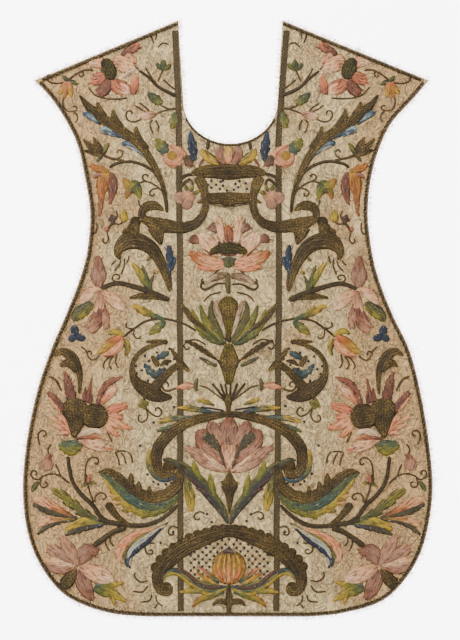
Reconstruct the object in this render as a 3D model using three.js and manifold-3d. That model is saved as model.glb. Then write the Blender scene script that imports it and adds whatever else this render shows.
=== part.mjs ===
// A fiddleback chasuble laid flat, front up: a front and a back panel of one cut, two gold
// bands, a twisted cord round the edge, and padded embroidery in gold thread and silk.
// Millimetres, +Z up, +Y towards the neck. The origin is the middle of the underside.
import * as THREE from "three";
import { mergeVertices } from "three/addons/utils/BufferGeometryUtils.js";
import Module from "manifold-3d";

const wasm = await Module();
wasm.setup();

// Driving sizes.
const TOP = 510; // height of the neck points above the middle
const HEM = -511; // the straight part of the hem
const HEM_HALF = 136;
const NECK_TOP_HALF = 89; // half the neck opening at the shoulders
const NECK_HALF = 80.5; // half the neck opening where its curve starts
const NECK_CURVE_Y = 372;
const NECK_CURVE_DEPTH = 73;
const NECK_MIDDLE = 1.5;
const BACK_THICK = 1.2;
const FRONT_THICK = 1.5;
const SEAM_GAP = 0.3; // between the two panels
const PAD_GAP = 0.35; // between the front panel and what is sewn on it
const SWELL = 2; // how far the front panel rises off the back panel
const SWELL_LENGTH = 430;
const SWELL_WIDTH = 380;
const SWELL_HALF = { x: 365, y: 535 }; // where the swell has died away
const SHEET_HALF = { x: 370, y: 530 }; // the sheet that the front panel is cut from
const SHEET_STEP = 43; // spacing of the front panel's points
const EDGE_STEP = 30; // spacing of the points along the sides
const BAND_WIDTH = 10.5;
const BAND_THICK = 1.2;
const BAND_STEP = 43;
const BAND_FROM = HEM + 9;
const BAND_TO = TOP - 17;
const PAD_LEAST = 2.4; // width of a leaf or petal at its very tip
const EDGE_CORD = { width: 5.4, height: 3.4, inset: 4.6 }; // inset: from the raw edge
const NECK_CORD = { width: 3.8, height: 2.6, inset: 2.6 };
const CORD_STEP = 38;
const TIP_TRIM = 8; // how far the side cords stop short of the shoulder points
const SHOULDER_TRIM = 11.4; // and the shoulder cords, which meet them there
const NECK_TRIM = 3;
const CURVE_TRIM = 30; // where the neck cord leaves the bands
const JOINT_TRIM = 0.3; // where one stretch of cord follows another
const NECK_STEPS = 14;
const PAD_THICK = 3.2; // padded gold thread
const SILK_THICK = 2.6; // silk floss over a thin pad
const HEART_RISE = 1.4; // a flower's gold heart, above its petals
const PAD_TOP_SHARE = 0.6; // width of a pad's flat top, as a share of its foot

// The side edges from the shoulder points down to the hem.
const SIDES = [
  { y: 407, left: -334, right: 341 },
  { y: 377, left: -306, right: 316 },
  { y: 336, left: -279, right: 279 },
  { y: 295, left: -260, right: 258 },
  { y: 242, left: -248, right: 243 },
  { y: 182, left: -239, right: 237 },
  { y: 120, left: -243, right: 243 },
  { y: 69, left: -256, right: 255 },
  { y: 7, left: -280, right: 279 },
  { y: -54, left: -306, right: 308 },
  { y: -126, left: -330, right: 327 },
  { y: -208, left: -347, right: 341 },
  { y: -290, left: -354, right: 348 },
  { y: -362, left: -347, right: 339 },
  { y: -417, left: -327, right: 320 },
  { y: -465, left: -292, right: 285 },
  { y: -490, left: -252, right: 248 },
  { y: -506, left: -198, right: 187 },
  { y: HEM, left: -HEM_HALF, right: HEM_HALF },
];

// The middles of the two bands, which lean outwards beside the neck.
const BANDS = [
  { y: 510, left: -93.5, right: 98 },
  { y: 372, left: -87.5, right: 88 },
  { y: 290, left: -87, right: 84 },
  { y: 30, left: -85, right: 84 },
  { y: -511, left: -83.5, right: 79.5 },
];

const FINISHES = {
  silk: { color: 0xc4b89e, roughness: 0.75, metalness: 0 },
  lining: { color: 0xb9ac90, roughness: 0.85, metalness: 0 },
  gold: { color: 0x6b573a, roughness: 0.55, metalness: 0.35 },
  rose: { color: 0xb98473, roughness: 0.6, metalness: 0 },
  amber: { color: 0xb98a3a, roughness: 0.6, metalness: 0 },
  green: { color: 0x78702a, roughness: 0.6, metalness: 0 },
  blue: { color: 0x2d4a5c, roughness: 0.6, metalness: 0 },
};

// Padded work. A route runs along the middle of a leaf, petal or scroll, each point as
// x, y, width. A round is x, y, radius, petals and how deep the petals are notched.
// A row with pair is worked on the left and repeated, mirrored, on the right.
const RAISED = [
  {
    name: "neck_cartouche", finish: "gold", thick: PAD_THICK, crosses: true,
    routes: [
      [[-64, 247, 6], [-30, 253, 15], [-2, 256, 17], [28, 253, 15], [61, 247, 6]],
      [[-42, 208, 16], [-2, 203, 20], [39, 208, 16]],
    ],
    bothSides: [
      [[-56, 247, 9], [-45, 226, 12], [-41, 200, 11], [-50, 173, 12], [-74, 155, 14],
        [-104, 156, 20], [-130, 167, 21], [-156, 170, 6]],
      [[-148, 166, 10], [-153, 181, 12], [-138, 192, 14], [-115, 188, 5]],
      [[-121, 160, 16], [-119, 146, 12], [-114, 128, 3]],
    ],
  },
  {
    name: "neck_tulip", finish: "rose", thick: SILK_THICK,
    routes: [[[-1, 267, 14], [-1, 276, 30], [-1, 284, 30], [-1, 292, 10]]],
    bothSides: [[[-11, 270, 5], [-30, 277, 11], [-41, 288, 3]]],
  },
  {
    name: "fan_flower", finish: "rose", thick: SILK_THICK,
    routes: [[[-2, 98, 10], [-2, 126, 26], [-2, 150, 20], [-2, 166, 4]]],
    bothSides: [
      [[-2, 102, 10], [-20, 126, 22], [-33, 146, 22], [-40, 160, 4]],
      [[-2, 100, 12], [-32, 111, 22], [-54, 121, 22], [-70, 130, 4]],
    ],
  },
  {
    name: "centre_bud", finish: "green", thick: SILK_THICK,
    routes: [[[-1, -42, 8], [-1, -18, 30], [-1, 12, 36], [-1, 40, 10]]],
    bothSides: [[[-3, -38, 8], [-25, -8, 14], [-42, 22, 3]]],
  },
  {
    name: "centre_stem", finish: "gold", thick: SILK_THICK,
    routes: [[[0, -157, 8], [-1, -128, 11], [-1, -92, 8], [-1, -50, 6]]],
    bothSides: [[[-2, -144, 5], [-13, -128, 5], [-29, -108, 3]]],
  },
  {
    name: "arch", finish: "gold", thick: PAD_THICK, crosses: true,
    routes: [[
      [-97, -262, 6], [-114, -264, 16], [-123, -244, 19], [-112, -210, 16],
      [-86, -184, 17], [-50, -171, 15], [0, -165, 12], [50, -171, 15],
      [86, -184, 17], [112, -210, 16], [123, -244, 19], [114, -264, 16], [97, -262, 6],
    ]],
  },
  {
    name: "great_flower", finish: "rose", thick: SILK_THICK,
    routes: [[[0, -256, 8], [0, -226, 32], [0, -198, 40], [0, -177, 14]]],
    bothSides: [
      [[-4, -252, 8], [-22, -226, 28], [-36, -202, 26], [-42, -190, 6]],
      [[-4, -254, 8], [-30, -248, 20], [-52, -234, 20], [-70, -224, 4]],
    ],
  },
  {
    name: "arrow_leaf", finish: "gold", thick: PAD_THICK,
    routes: [[[0, -334, 4], [0, -308, 8], [0, -292, 13], [0, -284, 24], [0, -262, 3]]],
  },
  {
    name: "hem_arch", finish: "gold", thick: PAD_THICK, crosses: true,
    routes: [[
      [-100, -460, 6], [-108, -470, 9], [-121, -458, 13], [-119, -436, 20],
      [-104, -414, 26], [-80, -394, 25], [-44, -373, 22], [0, -365, 20],
      [44, -373, 22], [80, -394, 25], [104, -414, 26], [119, -436, 20],
      [121, -458, 13], [108, -470, 9], [100, -460, 6],
    ]],
  },
  {
    name: "fruit", finish: "amber", thick: PAD_THICK,
    bothSides: [[[-8, -448, 8], [-28, -445, 14], [-54, -428, 3]]],
    rounds: [[-0.5, -424, 30, 1, 0]],
  },
  {
    name: "finial", finish: "gold", thick: SILK_THICK,
    routes: [[[0, -462, 4], [0, -480, 10], [0, -500, 6]]],
    bothSides: [[[-1, -491, 6], [-12, -483, 7], [-21, -487, 3]]],
  },
  {
    name: "acanthus", pair: true, finish: "gold", thick: PAD_THICK,
    routes: [
      [[-257, 382, 3], [-230, 353, 13], [-192, 325, 16], [-150, 292, 15], [-122, 247, 9],
        [-109, 198, 6]],
      [[-224, 374, 3], [-208, 340, 12]],
      [[-200, 357, 3], [-178, 316, 14]],
      [[-160, 328, 3], [-143, 284, 14]],
      [[-206, 258, 5], [-184, 268, 5], [-150, 263, 5], [-119, 238, 5]],
    ],
  },
  {
    name: "peony", pair: true, finish: "rose", thick: SILK_THICK,
    routes: [[[-186, 428, 12], [-172, 444, 18], [-162, 457, 10]]],
    rounds: [[-203, 412, 37, 6, 0.24]],
  },
  {
    name: "neck_rose", pair: true, finish: "rose", thick: SILK_THICK, crosses: true,
    rounds: [[-94, 277, 21, 5, 0.1]],
  },
  {
    name: "neck_leaf", pair: true, finish: "blue", thick: SILK_THICK,
    routes: [[[-60, 274, 3], [-64, 292, 15], [-66, 320, 3]]],
  },
  {
    name: "side_bud", pair: true, finish: "rose", thick: SILK_THICK, crosses: true,
    rounds: [[-72, 203, 16, 3, 0.12]],
  },
  {
    name: "lily", pair: true, finish: "amber", thick: SILK_THICK,
    routes: [
      [[-208, 250, 10], [-215, 232, 25], [-221, 206, 16], [-224, 176, 3]],
      [[-206, 250, 10], [-196, 230, 13], [-205, 196, 3]],
      [[-207, 249, 10], [-224, 253, 9], [-239, 261, 3]],
    ],
  },
  {
    name: "great_scroll", pair: true, finish: "gold", thick: PAD_THICK,
    routes: [
      [[-103, 47, 5], [-113, 76, 16], [-128, 104, 22], [-156, 126, 32], [-180, 122, 26],
        [-190, 104, 10]],
    ],
    rounds: [[-176, 139, 11, 1, 0], [-158, 145, 11, 1, 0], [-139, 132, 10, 1, 0]],
  },
  {
    name: "three_petal", pair: true, finish: "rose", thick: SILK_THICK,
    routes: [
      [[-223, 48, 10], [-222, 78, 28], [-224, 107, 3]],
      [[-222, 52, 10], [-243, 36, 26], [-259, 12, 3]],
      [[-224, 52, 10], [-205, 38, 26], [-187, 18, 3]],
    ],
  },
  {
    name: "mid_spray", pair: true, finish: "green", thick: SILK_THICK,
    routes: [
      [[-196, 63, 4], [-170, 60, 5], [-140, 44, 6], [-112, 26, 6], [-98, 22, 4]],
      [[-133, 40, 7], [-147, 64, 11], [-161, 92, 3]],
      [[-106, 25, 9], [-136, 20, 17], [-168, 4, 3]],
    ],
  },
  {
    name: "yellow_bud", pair: true, finish: "amber", thick: SILK_THICK,
    routes: [[[-184, -32, 8], [-200, -46, 23], [-223, -68, 3]]],
  },
  {
    name: "shell", pair: true, finish: "gold", thick: PAD_THICK,
    routes: [
      [[-100, -42, 5], [-128, -44, 7], [-155, -62, 8], [-165, -88, 10], [-152, -112, 18],
        [-128, -131, 20], [-102, -137, 4]],
      [[-136, -120, 18], [-118, -100, 12], [-96, -83, 8], [-93, -82, 4]],
    ],
  },
  {
    name: "hook_leaf", pair: true, finish: "gold", thick: PAD_THICK,
    routes: [
      [[-257, -132, 4], [-259, -98, 14], [-276, -67, 12], [-300, -66, 3]],
      [[-259, -96, 8], [-272, -80, 11], [-291, -83, 3]],
    ],
  },
  {
    name: "pomegranate", pair: true, finish: "rose", thick: SILK_THICK,
    routes: [
      [[-282, -92, 3], [-276, -122, 19], [-263, -156, 14]],
      [[-309, -128, 3], [-294, -147, 17], [-270, -164, 14]],
      [[-237, -102, 3], [-247, -152, 14]],
      [[-182, -100, 3], [-204, -126, 20], [-226, -160, 12]],
      [[-174, -150, 3], [-192, -158, 23], [-218, -166, 16]],
      [[-168, -190, 3], [-192, -183, 23], [-220, -171, 16]],
      [[-203, -226, 3], [-226, -214, 20], [-262, -201, 8]],
      [[-307, -168, 5], [-292, -184, 26], [-264, -202, 8]],
      [[-266, -198, 6], [-273, -219, 20], [-273, -236, 10]],
    ],
    rounds: [[-273, -221, 21, 3, 0.2]],
    hearts: [
      [[-261, -140, 24], [-261, -160, 42], [-262, -184, 26], [-265, -206, 5]],
      [[-216, -152, 20], [-226, -168, 40], [-244, -182, 22], [-262, -190, 8]],
    ],
  },
  {
    name: "scroll_leaf", pair: true, finish: "green", thick: PAD_THICK, crosses: true,
    routes: [
      [[-4, -347, 3], [-14, -325, 10], [-54, -276, 13], [-86, -252, 11], [-107, -247, 3]],
      [[-84, -254, 10], [-86, -278, 13], [-106, -301, 12], [-136, -301, 11],
        [-170, -277, 3]],
      [[-61, -246, 3], [-50, -280, 9]],
      [[-34, -268, 3], [-26, -306, 9]],
    ],
  },
  {
    name: "feather_leaf", pair: true, finish: "blue", thick: SILK_THICK,
    routes: [[[-112, -356, 3], [-134, -378, 14], [-158, -404, 20], [-176, -428, 3]]],
  },
  {
    name: "side_spray", pair: true, finish: "green", thick: SILK_THICK,
    routes: [
      [[-94, -330, 5], [-132, -350, 6], [-172, -357, 7], [-215, -353, 10],
        [-256, -342, 15], [-304, -330, 3]],
      [[-208, -354, 9], [-240, -325, 18], [-276, -312, 3]],
      [[-222, -352, 9], [-268, -357, 15], [-307, -353, 3]],
      [[-212, -356, 9], [-238, -369, 14], [-262, -374, 3]],
      [[-170, -357, 7], [-190, -340, 13], [-205, -322, 3]],
      [[-226, -338, 6], [-258, -296, 5], [-272, -243, 5]],
    ],
  },
  {
    name: "lower_peony", pair: true, shift: -8, finish: "rose", thick: SILK_THICK,
    routes: [[[-236, -438, 14], [-208, -456, 16], [-186, -470, 3]]],
    rounds: [[-254, -422, 45, 5, 0.22]],
  },
  {
    name: "s_leaf", pair: true, finish: "green", thick: SILK_THICK, crosses: true,
    routes: [
      [[-5, -457, 3], [-27, -467, 12], [-54, -464, 14], [-86, -441, 12], [-105, -441, 4]],
      [[-26, -469, 8], [-50, -479, 9], [-61, -492, 3]],
    ],
  },
];

// How far the front panel lies above the back panel at a point.
function swell(x, y) {
  const fade =
    Math.max(0, 1 - (x / SWELL_HALF.x) ** 2) * Math.max(0, 1 - (y / SWELL_HALF.y) ** 2);
  const wave =
    0.5 + 0.3 * Math.sin((2 * Math.PI * (y + 0.4 * x)) / SWELL_LENGTH) +
    0.2 * Math.cos((2 * Math.PI * (x - 0.3 * y)) / SWELL_WIDTH);
  return SWELL * fade * wave;
}

const FRONT_BASE = BACK_THICK + SEAM_GAP;
const frontTop = (x, y) => FRONT_BASE + FRONT_THICK + swell(x, y);

// Solids from three.js geometry, and back.
function solid(geometry) {
  const bare = geometry.clone();
  bare.deleteAttribute("normal");
  bare.deleteAttribute("uv");
  const merged = mergeVertices(bare, 1e-3);
  return new wasm.Manifold(
    new wasm.Mesh({
      numProp: 3,
      vertProperties: new Float32Array(merged.attributes.position.array),
      triVerts: new Uint32Array(merged.index.array),
    }),
  );
}

function meshOf(name, body, finish) {
  const { numProp, numVert, vertProperties, triVerts } = body.getMesh();
  const points = new Float32Array(numVert * 3);
  for (let i = 0; i < numVert; i += 1) {
    points.set(vertProperties.subarray(i * numProp, i * numProp + 3), i * 3);
  }
  const geometry = new THREE.BufferGeometry();
  geometry.setAttribute("position", new THREE.BufferAttribute(points, 3));
  geometry.setIndex(new THREE.BufferAttribute(new Uint32Array(triVerts), 1));
  geometry.computeVertexNormals();
  const mesh = new THREE.Mesh(geometry, new THREE.MeshStandardMaterial(FINISHES[finish]));
  mesh.name = name;
  return mesh;
}

const joined = (bodies) => bodies.reduce((a, b) => a.add(b));

// A closed skin through rings of equally many points, each end closed by a fan.
function loft(rings) {
  const count = rings[0].length;
  const positions = rings.flat().flatMap((p) => [p.x, p.y, p.z]);
  const faces = [];
  for (let r = 0; r + 1 < rings.length; r += 1) {
    for (let i = 0; i < count; i += 1) {
      const a = r * count + i;
      const b = r * count + ((i + 1) % count);
      faces.push(a, b, b + count, a, b + count, a + count);
    }
  }
  const last = (rings.length - 1) * count;
  for (let i = 1; i + 1 < count; i += 1) {
    faces.push(0, i + 1, i, last, last + i, last + i + 1);
  }
  const geometry = new THREE.BufferGeometry();
  geometry.setAttribute("position", new THREE.Float32BufferAttribute(positions, 3));
  geometry.setIndex(faces);
  return geometry;
}

// A pad along a route over the front panel: flat foot, sloped sides, narrower top.
function padAlong(route, thick) {
  const curve = new THREE.CatmullRomCurve3(
    route.map(([x, y, width]) => new THREE.Vector3(x, y, width)), false, "centripetal");
  const steps = Math.round((route.length - 1) * STEPS_A_POINT[Math.min(route.length, 4)]);
  const rings = [];
  for (let i = 0; i <= steps; i += 1) {
    const at = curve.getPoint(i / steps);
    const along = curve.getTangent(i / steps).setZ(0).normalize();
    const half = Math.max(at.z, PAD_LEAST) / 2;
    rings.push(PAD_SECTION.map(([across, up]) => {
      const x = at.x + along.y * across * half;
      const y = at.y - along.x * across * half;
      return new THREE.Vector3(x, y, frontTop(x, y) + PAD_GAP + up * thick);
    }));
  }
  return solid(loft(rings));
}

// Rings for each stretch of a route, by how many points it has, from four up the same.
const STEPS_A_POINT = { 2: 1, 3: 1.5, 4: 1.6 };

// The pad's section: across, as a share of half its width, and up, of its thickness.
const PAD_SECTION = [[-1, 0], [-PAD_TOP_SHARE, 1], [PAD_TOP_SHARE, 1], [1, 0]];

// A round pad with petals, domed towards its middle.
function roundPad([x0, y0, radius, petals, notch], thick) {
  const count = petals === 1 ? 6 + Math.round(radius / 4) : petals * 4;
  const rings = ROUND_LEVELS.map(({ share, up }) => {
    const ring = [];
    for (let i = 0; i < count; i += 1) {
      const turn = (2 * Math.PI * i) / count;
      const lobe = petals === 1 ? 1 : Math.abs(Math.cos((petals * turn) / 2));
      const reach = radius * (1 - notch + notch * lobe) * share;
      const x = x0 + reach * Math.cos(turn);
      const y = y0 + reach * Math.sin(turn);
      ring.push(new THREE.Vector3(x, y, frontTop(x, y) + PAD_GAP + up * thick));
    }
    return ring;
  });
  return solid(loft(rings));
}

const ROUND_LEVELS = [
  { share: 1, up: 0 },
  { share: 0.97, up: 0.5 },
  { share: 0.7, up: 1 },
];

const mirrored = (route) => route.map(([x, ...rest]) => [-x, ...rest]);

// A gold band, or with a margin the room that it takes under the pads that cross it.
function band(side, margin) {
  const rows = Math.round((BAND_TO - BAND_FROM) / BAND_STEP);
  const half = BAND_WIDTH / 2 + margin;
  const rings = [];
  for (let i = 0; i <= rows; i += 1) {
    const y = BAND_FROM + ((BAND_TO - BAND_FROM) * i) / rows;
    const middle = bandMiddle(side, y);
    rings.push([[-1, 0], [-1, 1], [1, 1], [1, 0]].map(([across, up]) => {
      const x = middle + across * half;
      const rise = up ? BAND_THICK + margin : -margin;
      return new THREE.Vector3(x, y, frontTop(x, y) + PAD_GAP + rise);
    }));
  }
  return solid(loft(rings));
}

function bandMiddle(side, y) {
  const next = Math.max(1, BANDS.findIndex((row) => row.y <= y));
  const [above, below] = [BANDS[next - 1], BANDS[next]];
  const share = (above.y - y) / (above.y - below.y);
  return above[side] + (below[side] - above[side]) * share;
}

// The panels' outline, counter-clockwise: neck, right side, hem, left side.
function sideCurve(side) {
  return new THREE.SplineCurve(SIDES.map((row) => new THREE.Vector2(row[side], row.y)));
}

function sidePoints(side, step) {
  const curve = sideCurve(side);
  return curve.getSpacedPoints(Math.round(curve.getLength() / step));
}

function neckPoints(count) {
  const points = [];
  for (let i = 0; i <= count; i += 1) {
    const turn = Math.PI + (Math.PI * i) / count;
    points.push(new THREE.Vector2(
      NECK_MIDDLE + NECK_HALF * Math.cos(turn),
      NECK_CURVE_Y + NECK_CURVE_DEPTH * Math.sin(turn)));
  }
  return [
    new THREE.Vector2(NECK_MIDDLE - NECK_TOP_HALF, TOP),
    ...points,
    new THREE.Vector2(NECK_MIDDLE + NECK_TOP_HALF, TOP),
  ];
}

function outline() {
  return [
    ...neckPoints(NECK_STEPS),
    ...sidePoints("right", EDGE_STEP),
    ...sidePoints("left", EDGE_STEP).reverse(),
  ];
}

function slab(height) {
  const shape = new THREE.Shape(outline());
  return new THREE.ExtrudeGeometry(shape, { depth: height, bevelEnabled: false });
}

// A sheet over the whole panel's box, with an underside and a top given as functions.
function sheet(under, over) {
  const wide = 2 * SHEET_HALF.x;
  const long = 2 * SHEET_HALF.y;
  const columns = Math.round(wide / SHEET_STEP);
  const rows = Math.round(long / SHEET_STEP);
  const geometry = new THREE.BoxGeometry(wide, long, 1, columns, rows, 1);
  const at = geometry.attributes.position;
  for (let i = 0; i < at.count; i += 1) {
    const height = at.getZ(i) > 0 ? over : under;
    at.setZ(i, height(at.getX(i), at.getY(i)));
  }
  return solid(geometry);
}

function frontPanel() {
  const under = (x, y) => FRONT_BASE + swell(x, y);
  return sheet(under, frontTop).intersect(solid(slab(FRONT_BASE + FRONT_THICK + 2 * SWELL)));
}

// A cord along points of the edge, moved inwards, its ends held back by two trims.
function cord(points, { width, height, inset }, fromTrim, toTrim) {
  const path = new THREE.CatmullRomCurve3(
    points.map((p) => new THREE.Vector3(p.x, p.y, 0)), false, "centripetal");
  const length = path.getLength();
  const steps = Math.max(2, Math.round(length / CORD_STEP));
  const sides = 6;
  const rings = [];
  for (let i = 0; i <= steps; i += 1) {
    const share = (fromTrim + ((length - fromTrim - toTrim) * i) / steps) / length;
    const at = path.getPointAt(share);
    const along = path.getTangentAt(share);
    const ring = [];
    for (let k = 0; k < sides; k += 1) {
      const turn = (2 * Math.PI * (k + 0.5)) / sides;
      const across = inset + (width / 2) * Math.cos(turn);
      const x = at.x + along.y * across;
      const y = at.y - along.x * across;
      const rise = (height / 2) * (1 + Math.sin(turn) / Math.cos(Math.PI / sides));
      ring.push(new THREE.Vector3(x, y, frontTop(x, y) + PAD_GAP + rise));
    }
    rings.push(ring.reverse());
  }
  return solid(loft(rings));
}

// Each stretch of edge runs with the cloth on its right, as the outline does. The bands
// edge the straight sides of the neck, so only its curve has a cord.
function cords() {
  const left = sidePoints("left", CORD_STEP).reverse();
  const right = sidePoints("right", CORD_STEP);
  const neck = neckPoints(NECK_STEPS);
  const curve = neck.slice(1, -1);
  return {
    neck_cord: cord(curve, NECK_CORD, CURVE_TRIM, CURVE_TRIM),
    side_cord_right: cord(right, EDGE_CORD, TIP_TRIM, JOINT_TRIM),
    hem_cord: cord([right.at(-1), left[0]], EDGE_CORD, JOINT_TRIM, JOINT_TRIM),
    side_cord_left: cord(left, EDGE_CORD, JOINT_TRIM, TIP_TRIM),
    shoulder_cord_right: cord([neck.at(-1), right[0]], EDGE_CORD, NECK_TRIM, SHOULDER_TRIM),
    shoulder_cord_left: cord([left.at(-1), neck[0]], EDGE_CORD, SHOULDER_TRIM, NECK_TRIM),
  };
}

// One padded piece on the left, or mirrored on the right.
function raised(row, flip) {
  const both = (row.bothSides ?? []).flatMap((route) => [route, mirrored(route)]);
  const shift = flip ? row.shift ?? 0 : 0;
  const turned = (route) =>
    flip ? mirrored(route).map(([x, ...rest]) => [x + shift, ...rest]) : route;
  const pads = [...(row.routes ?? []), ...both].map((r) => padAlong(turned(r), row.thick));
  const rounds = (row.rounds ?? []).map((round) => roundPad(turned([round])[0], row.thick));
  const hearts = (row.hearts ?? []).map((r) => padAlong(turned(r), row.thick + HEART_RISE));
  const whole = joined([...pads, ...rounds, ...hearts]);
  return row.crosses ? whole.subtract(bandRooms) : whole;
}

const bandRooms = joined([band("left", PAD_GAP), band("right", PAD_GAP)]);

const chasuble = new THREE.Group();
chasuble.add(meshOf("back_panel", solid(slab(BACK_THICK)), "lining"));
chasuble.add(meshOf("front_panel", frontPanel(), "silk"));
chasuble.add(meshOf("band_left", band("left", 0), "gold"));
chasuble.add(meshOf("band_right", band("right", 0), "gold"));
for (const [name, body] of Object.entries(cords())) {
  chasuble.add(meshOf(name, body, "gold"));
}
for (const row of RAISED) {
  if (row.pair) {
    chasuble.add(meshOf(row.name + "_left", raised(row, false), row.finish));
    chasuble.add(meshOf(row.name + "_right", raised(row, true), row.finish));
  } else {
    chasuble.add(meshOf(row.name, raised(row, false), row.finish));
  }
}

export default chasuble;
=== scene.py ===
import math
import random

import bmesh
import bpy
import numpy as np
from bpy.props import FloatProperty, FloatVectorProperty
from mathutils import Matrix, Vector, geometry


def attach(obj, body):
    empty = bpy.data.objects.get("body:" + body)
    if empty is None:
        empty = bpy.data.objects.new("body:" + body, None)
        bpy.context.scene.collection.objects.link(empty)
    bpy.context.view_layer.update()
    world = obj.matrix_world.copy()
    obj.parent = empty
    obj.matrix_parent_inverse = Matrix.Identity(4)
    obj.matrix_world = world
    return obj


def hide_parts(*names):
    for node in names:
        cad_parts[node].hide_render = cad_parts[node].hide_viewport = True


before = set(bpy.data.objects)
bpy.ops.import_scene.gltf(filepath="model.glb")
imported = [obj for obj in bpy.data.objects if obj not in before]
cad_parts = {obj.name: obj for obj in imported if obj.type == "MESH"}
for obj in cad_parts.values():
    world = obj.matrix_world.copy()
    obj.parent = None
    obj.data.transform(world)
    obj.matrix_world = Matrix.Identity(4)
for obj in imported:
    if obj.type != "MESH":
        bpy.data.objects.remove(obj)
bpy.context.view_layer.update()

bl_info = {
    "name": "Fiddleback chasuble",
    "version": (1, 0, 0),
    "blender": (4, 5, 0),
    "location": "3D View > Sidebar > Chasuble",
    "description": "A laid-flat chasuble of cream silk with padded gold and silk embroidery",
    "category": "Add Mesh",
}

MM = 0.001

# Sizes of the cut, in millimetres, as in the part's source.
TOP = 510
HEM = -511
NECK_POINTS = ((-87.5, 510), (90.5, 510))
NECK_HALF = 80.5
NECK_CURVE_Y = 372
NECK_CURVE_DEPTH = 73
NECK_MIDDLE = 1.5
SIDES = (
    # y, left x, right x
    (407, -334, 341), (377, -306, 316), (336, -279, 279), (295, -260, 258),
    (242, -248, 243), (182, -239, 237), (120, -243, 243), (69, -256, 255),
    (7, -280, 279), (-54, -306, 308), (-126, -330, 327), (-208, -347, 341),
    (-290, -354, 348), (-362, -347, 339), (-417, -327, 320), (-465, -292, 285),
    (-490, -252, 248), (-506, -198, 187), (-511, -136, 136),
)
BANDS = (
    # y, left x, right x
    (510, -93.5, 98), (372, -87.5, 88), (290, -87, 84), (30, -85, 84), (-511, -83.5, 79.5),
)
BAND_FROM = HEM + 9
BAND_TO = TOP - 17
BACK_THICK = 1.2
FRONT_TOP = 3.0  # height of the front panel's face at its edges
SWELL = 2  # how far the front panel rises off the back one
SWELL_LENGTH = 430
SWELL_WIDTH = 380
SWELL_HALF = (365, 535)  # where the swell has died away
SHEET_FROM = -356  # the sheet that both panels are cut from
SHEET_TO = 352
SHEET_JITTER = 0.14  # how far its points stray, as a share of their spacing
SHEET_CLEAR = 0.62  # and how near to the edge they come

# Steps of the meshes, in millimetres.
EDGE_STEP = 3.2
FRONT_STEP = 4.3
BACK_STEP = 12
STITCH_STEP = 2.2  # between the sections of a stitched leaf
SINK = 0.25  # how far the edge of a stitched shape goes into the cloth

# Creases in the front panel: two ends, how far the middle bows sideways, depth and half width.
CREASES = (
    (-318, 352, -246, 262, 9, 0.9, 7), (-296, 300, -238, 296, -6, 0.7, 6),
    (-262, 210, -196, 176, 8, 0.8, 7), (-247, 132, -182, 104, -7, 0.9, 6),
    (-262, 40, -206, 66, 9, 0.7, 8), (-300, -20, -228, 10, -8, 0.9, 7),
    (-326, -96, -262, -70, 10, 0.8, 8), (-344, -180, -276, -196, -9, 0.9, 7),
    (-346, -262, -300, -236, 6, 0.7, 6), (-336, -330, -262, -352, 10, 0.9, 8),
    (-308, -436, -226, -486, -12, 0.8, 7), (-220, -498, -132, -470, 8, 0.9, 7),
    (-110, 470, -116, 372, 4, 1.0, 6), (-104, 330, -108, 214, -5, 1.1, 6),
    (-112, 180, -104, 60, 5, 1.0, 6), (-104, 30, -112, -104, -4, 1.1, 7),
    (-108, -150, -100, -262, 5, 1.0, 6), (-112, -300, -104, -432, -5, 1.1, 7),
    (-66, 262, -58, 150, 5, 0.9, 6), (-60, 96, -68, -40, -5, 1.0, 6),
    (-54, -90, -66, -190, 4, 0.9, 6), (-60, -250, -66, -392, -4, 0.9, 7),
    (-20, 196, -10, 96, 6, 0.8, 7), (24, 60, 10, -60, -6, 0.9, 7),
    (-12, -310, 6, -400, 5, 0.8, 6), (58, 250, 64, 128, -5, 1.0, 6),
    (66, 70, 60, -66, 5, 0.9, 6), (62, -120, 54, -230, -4, 1.0, 6),
    (60, -280, 66, -420, 5, 0.9, 7), (108, 450, 104, 350, -4, 1.0, 6),
    (112, 300, 104, 190, 5, 1.0, 6), (102, 150, 110, 20, -5, 1.1, 6),
    (110, -20, 102, -150, 5, 1.0, 7), (104, -190, 110, -320, -5, 1.0, 6),
    (100, -350, 108, -470, 4, 1.1, 6), (322, 362, 250, 272, -9, 0.9, 7),
    (290, 306, 236, 300, 6, 0.7, 6), (256, 196, 192, 172, -8, 0.9, 7),
    (250, 118, 186, 96, 7, 0.8, 6), (268, 30, 202, 54, -9, 0.8, 8),
    (298, -30, 234, 2, 8, 0.9, 7), (328, -110, 270, -82, -9, 0.8, 8),
    (340, -196, 272, -204, 8, 0.9, 7), (344, -276, 292, -250, -6, 0.8, 6),
    (330, -344, 258, -360, -9, 0.9, 8), (296, -446, 222, -480, 10, 0.8, 7),
    (206, -494, 128, -466, -8, 0.9, 7), (-170, 480, -150, 420, 6, 0.7, 7),
    (168, 470, 150, 410, -6, 0.8, 7), (-246, 420, -190, 392, 7, 0.7, 6),
    (252, 424, 200, 396, -7, 0.8, 6),
)
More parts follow.
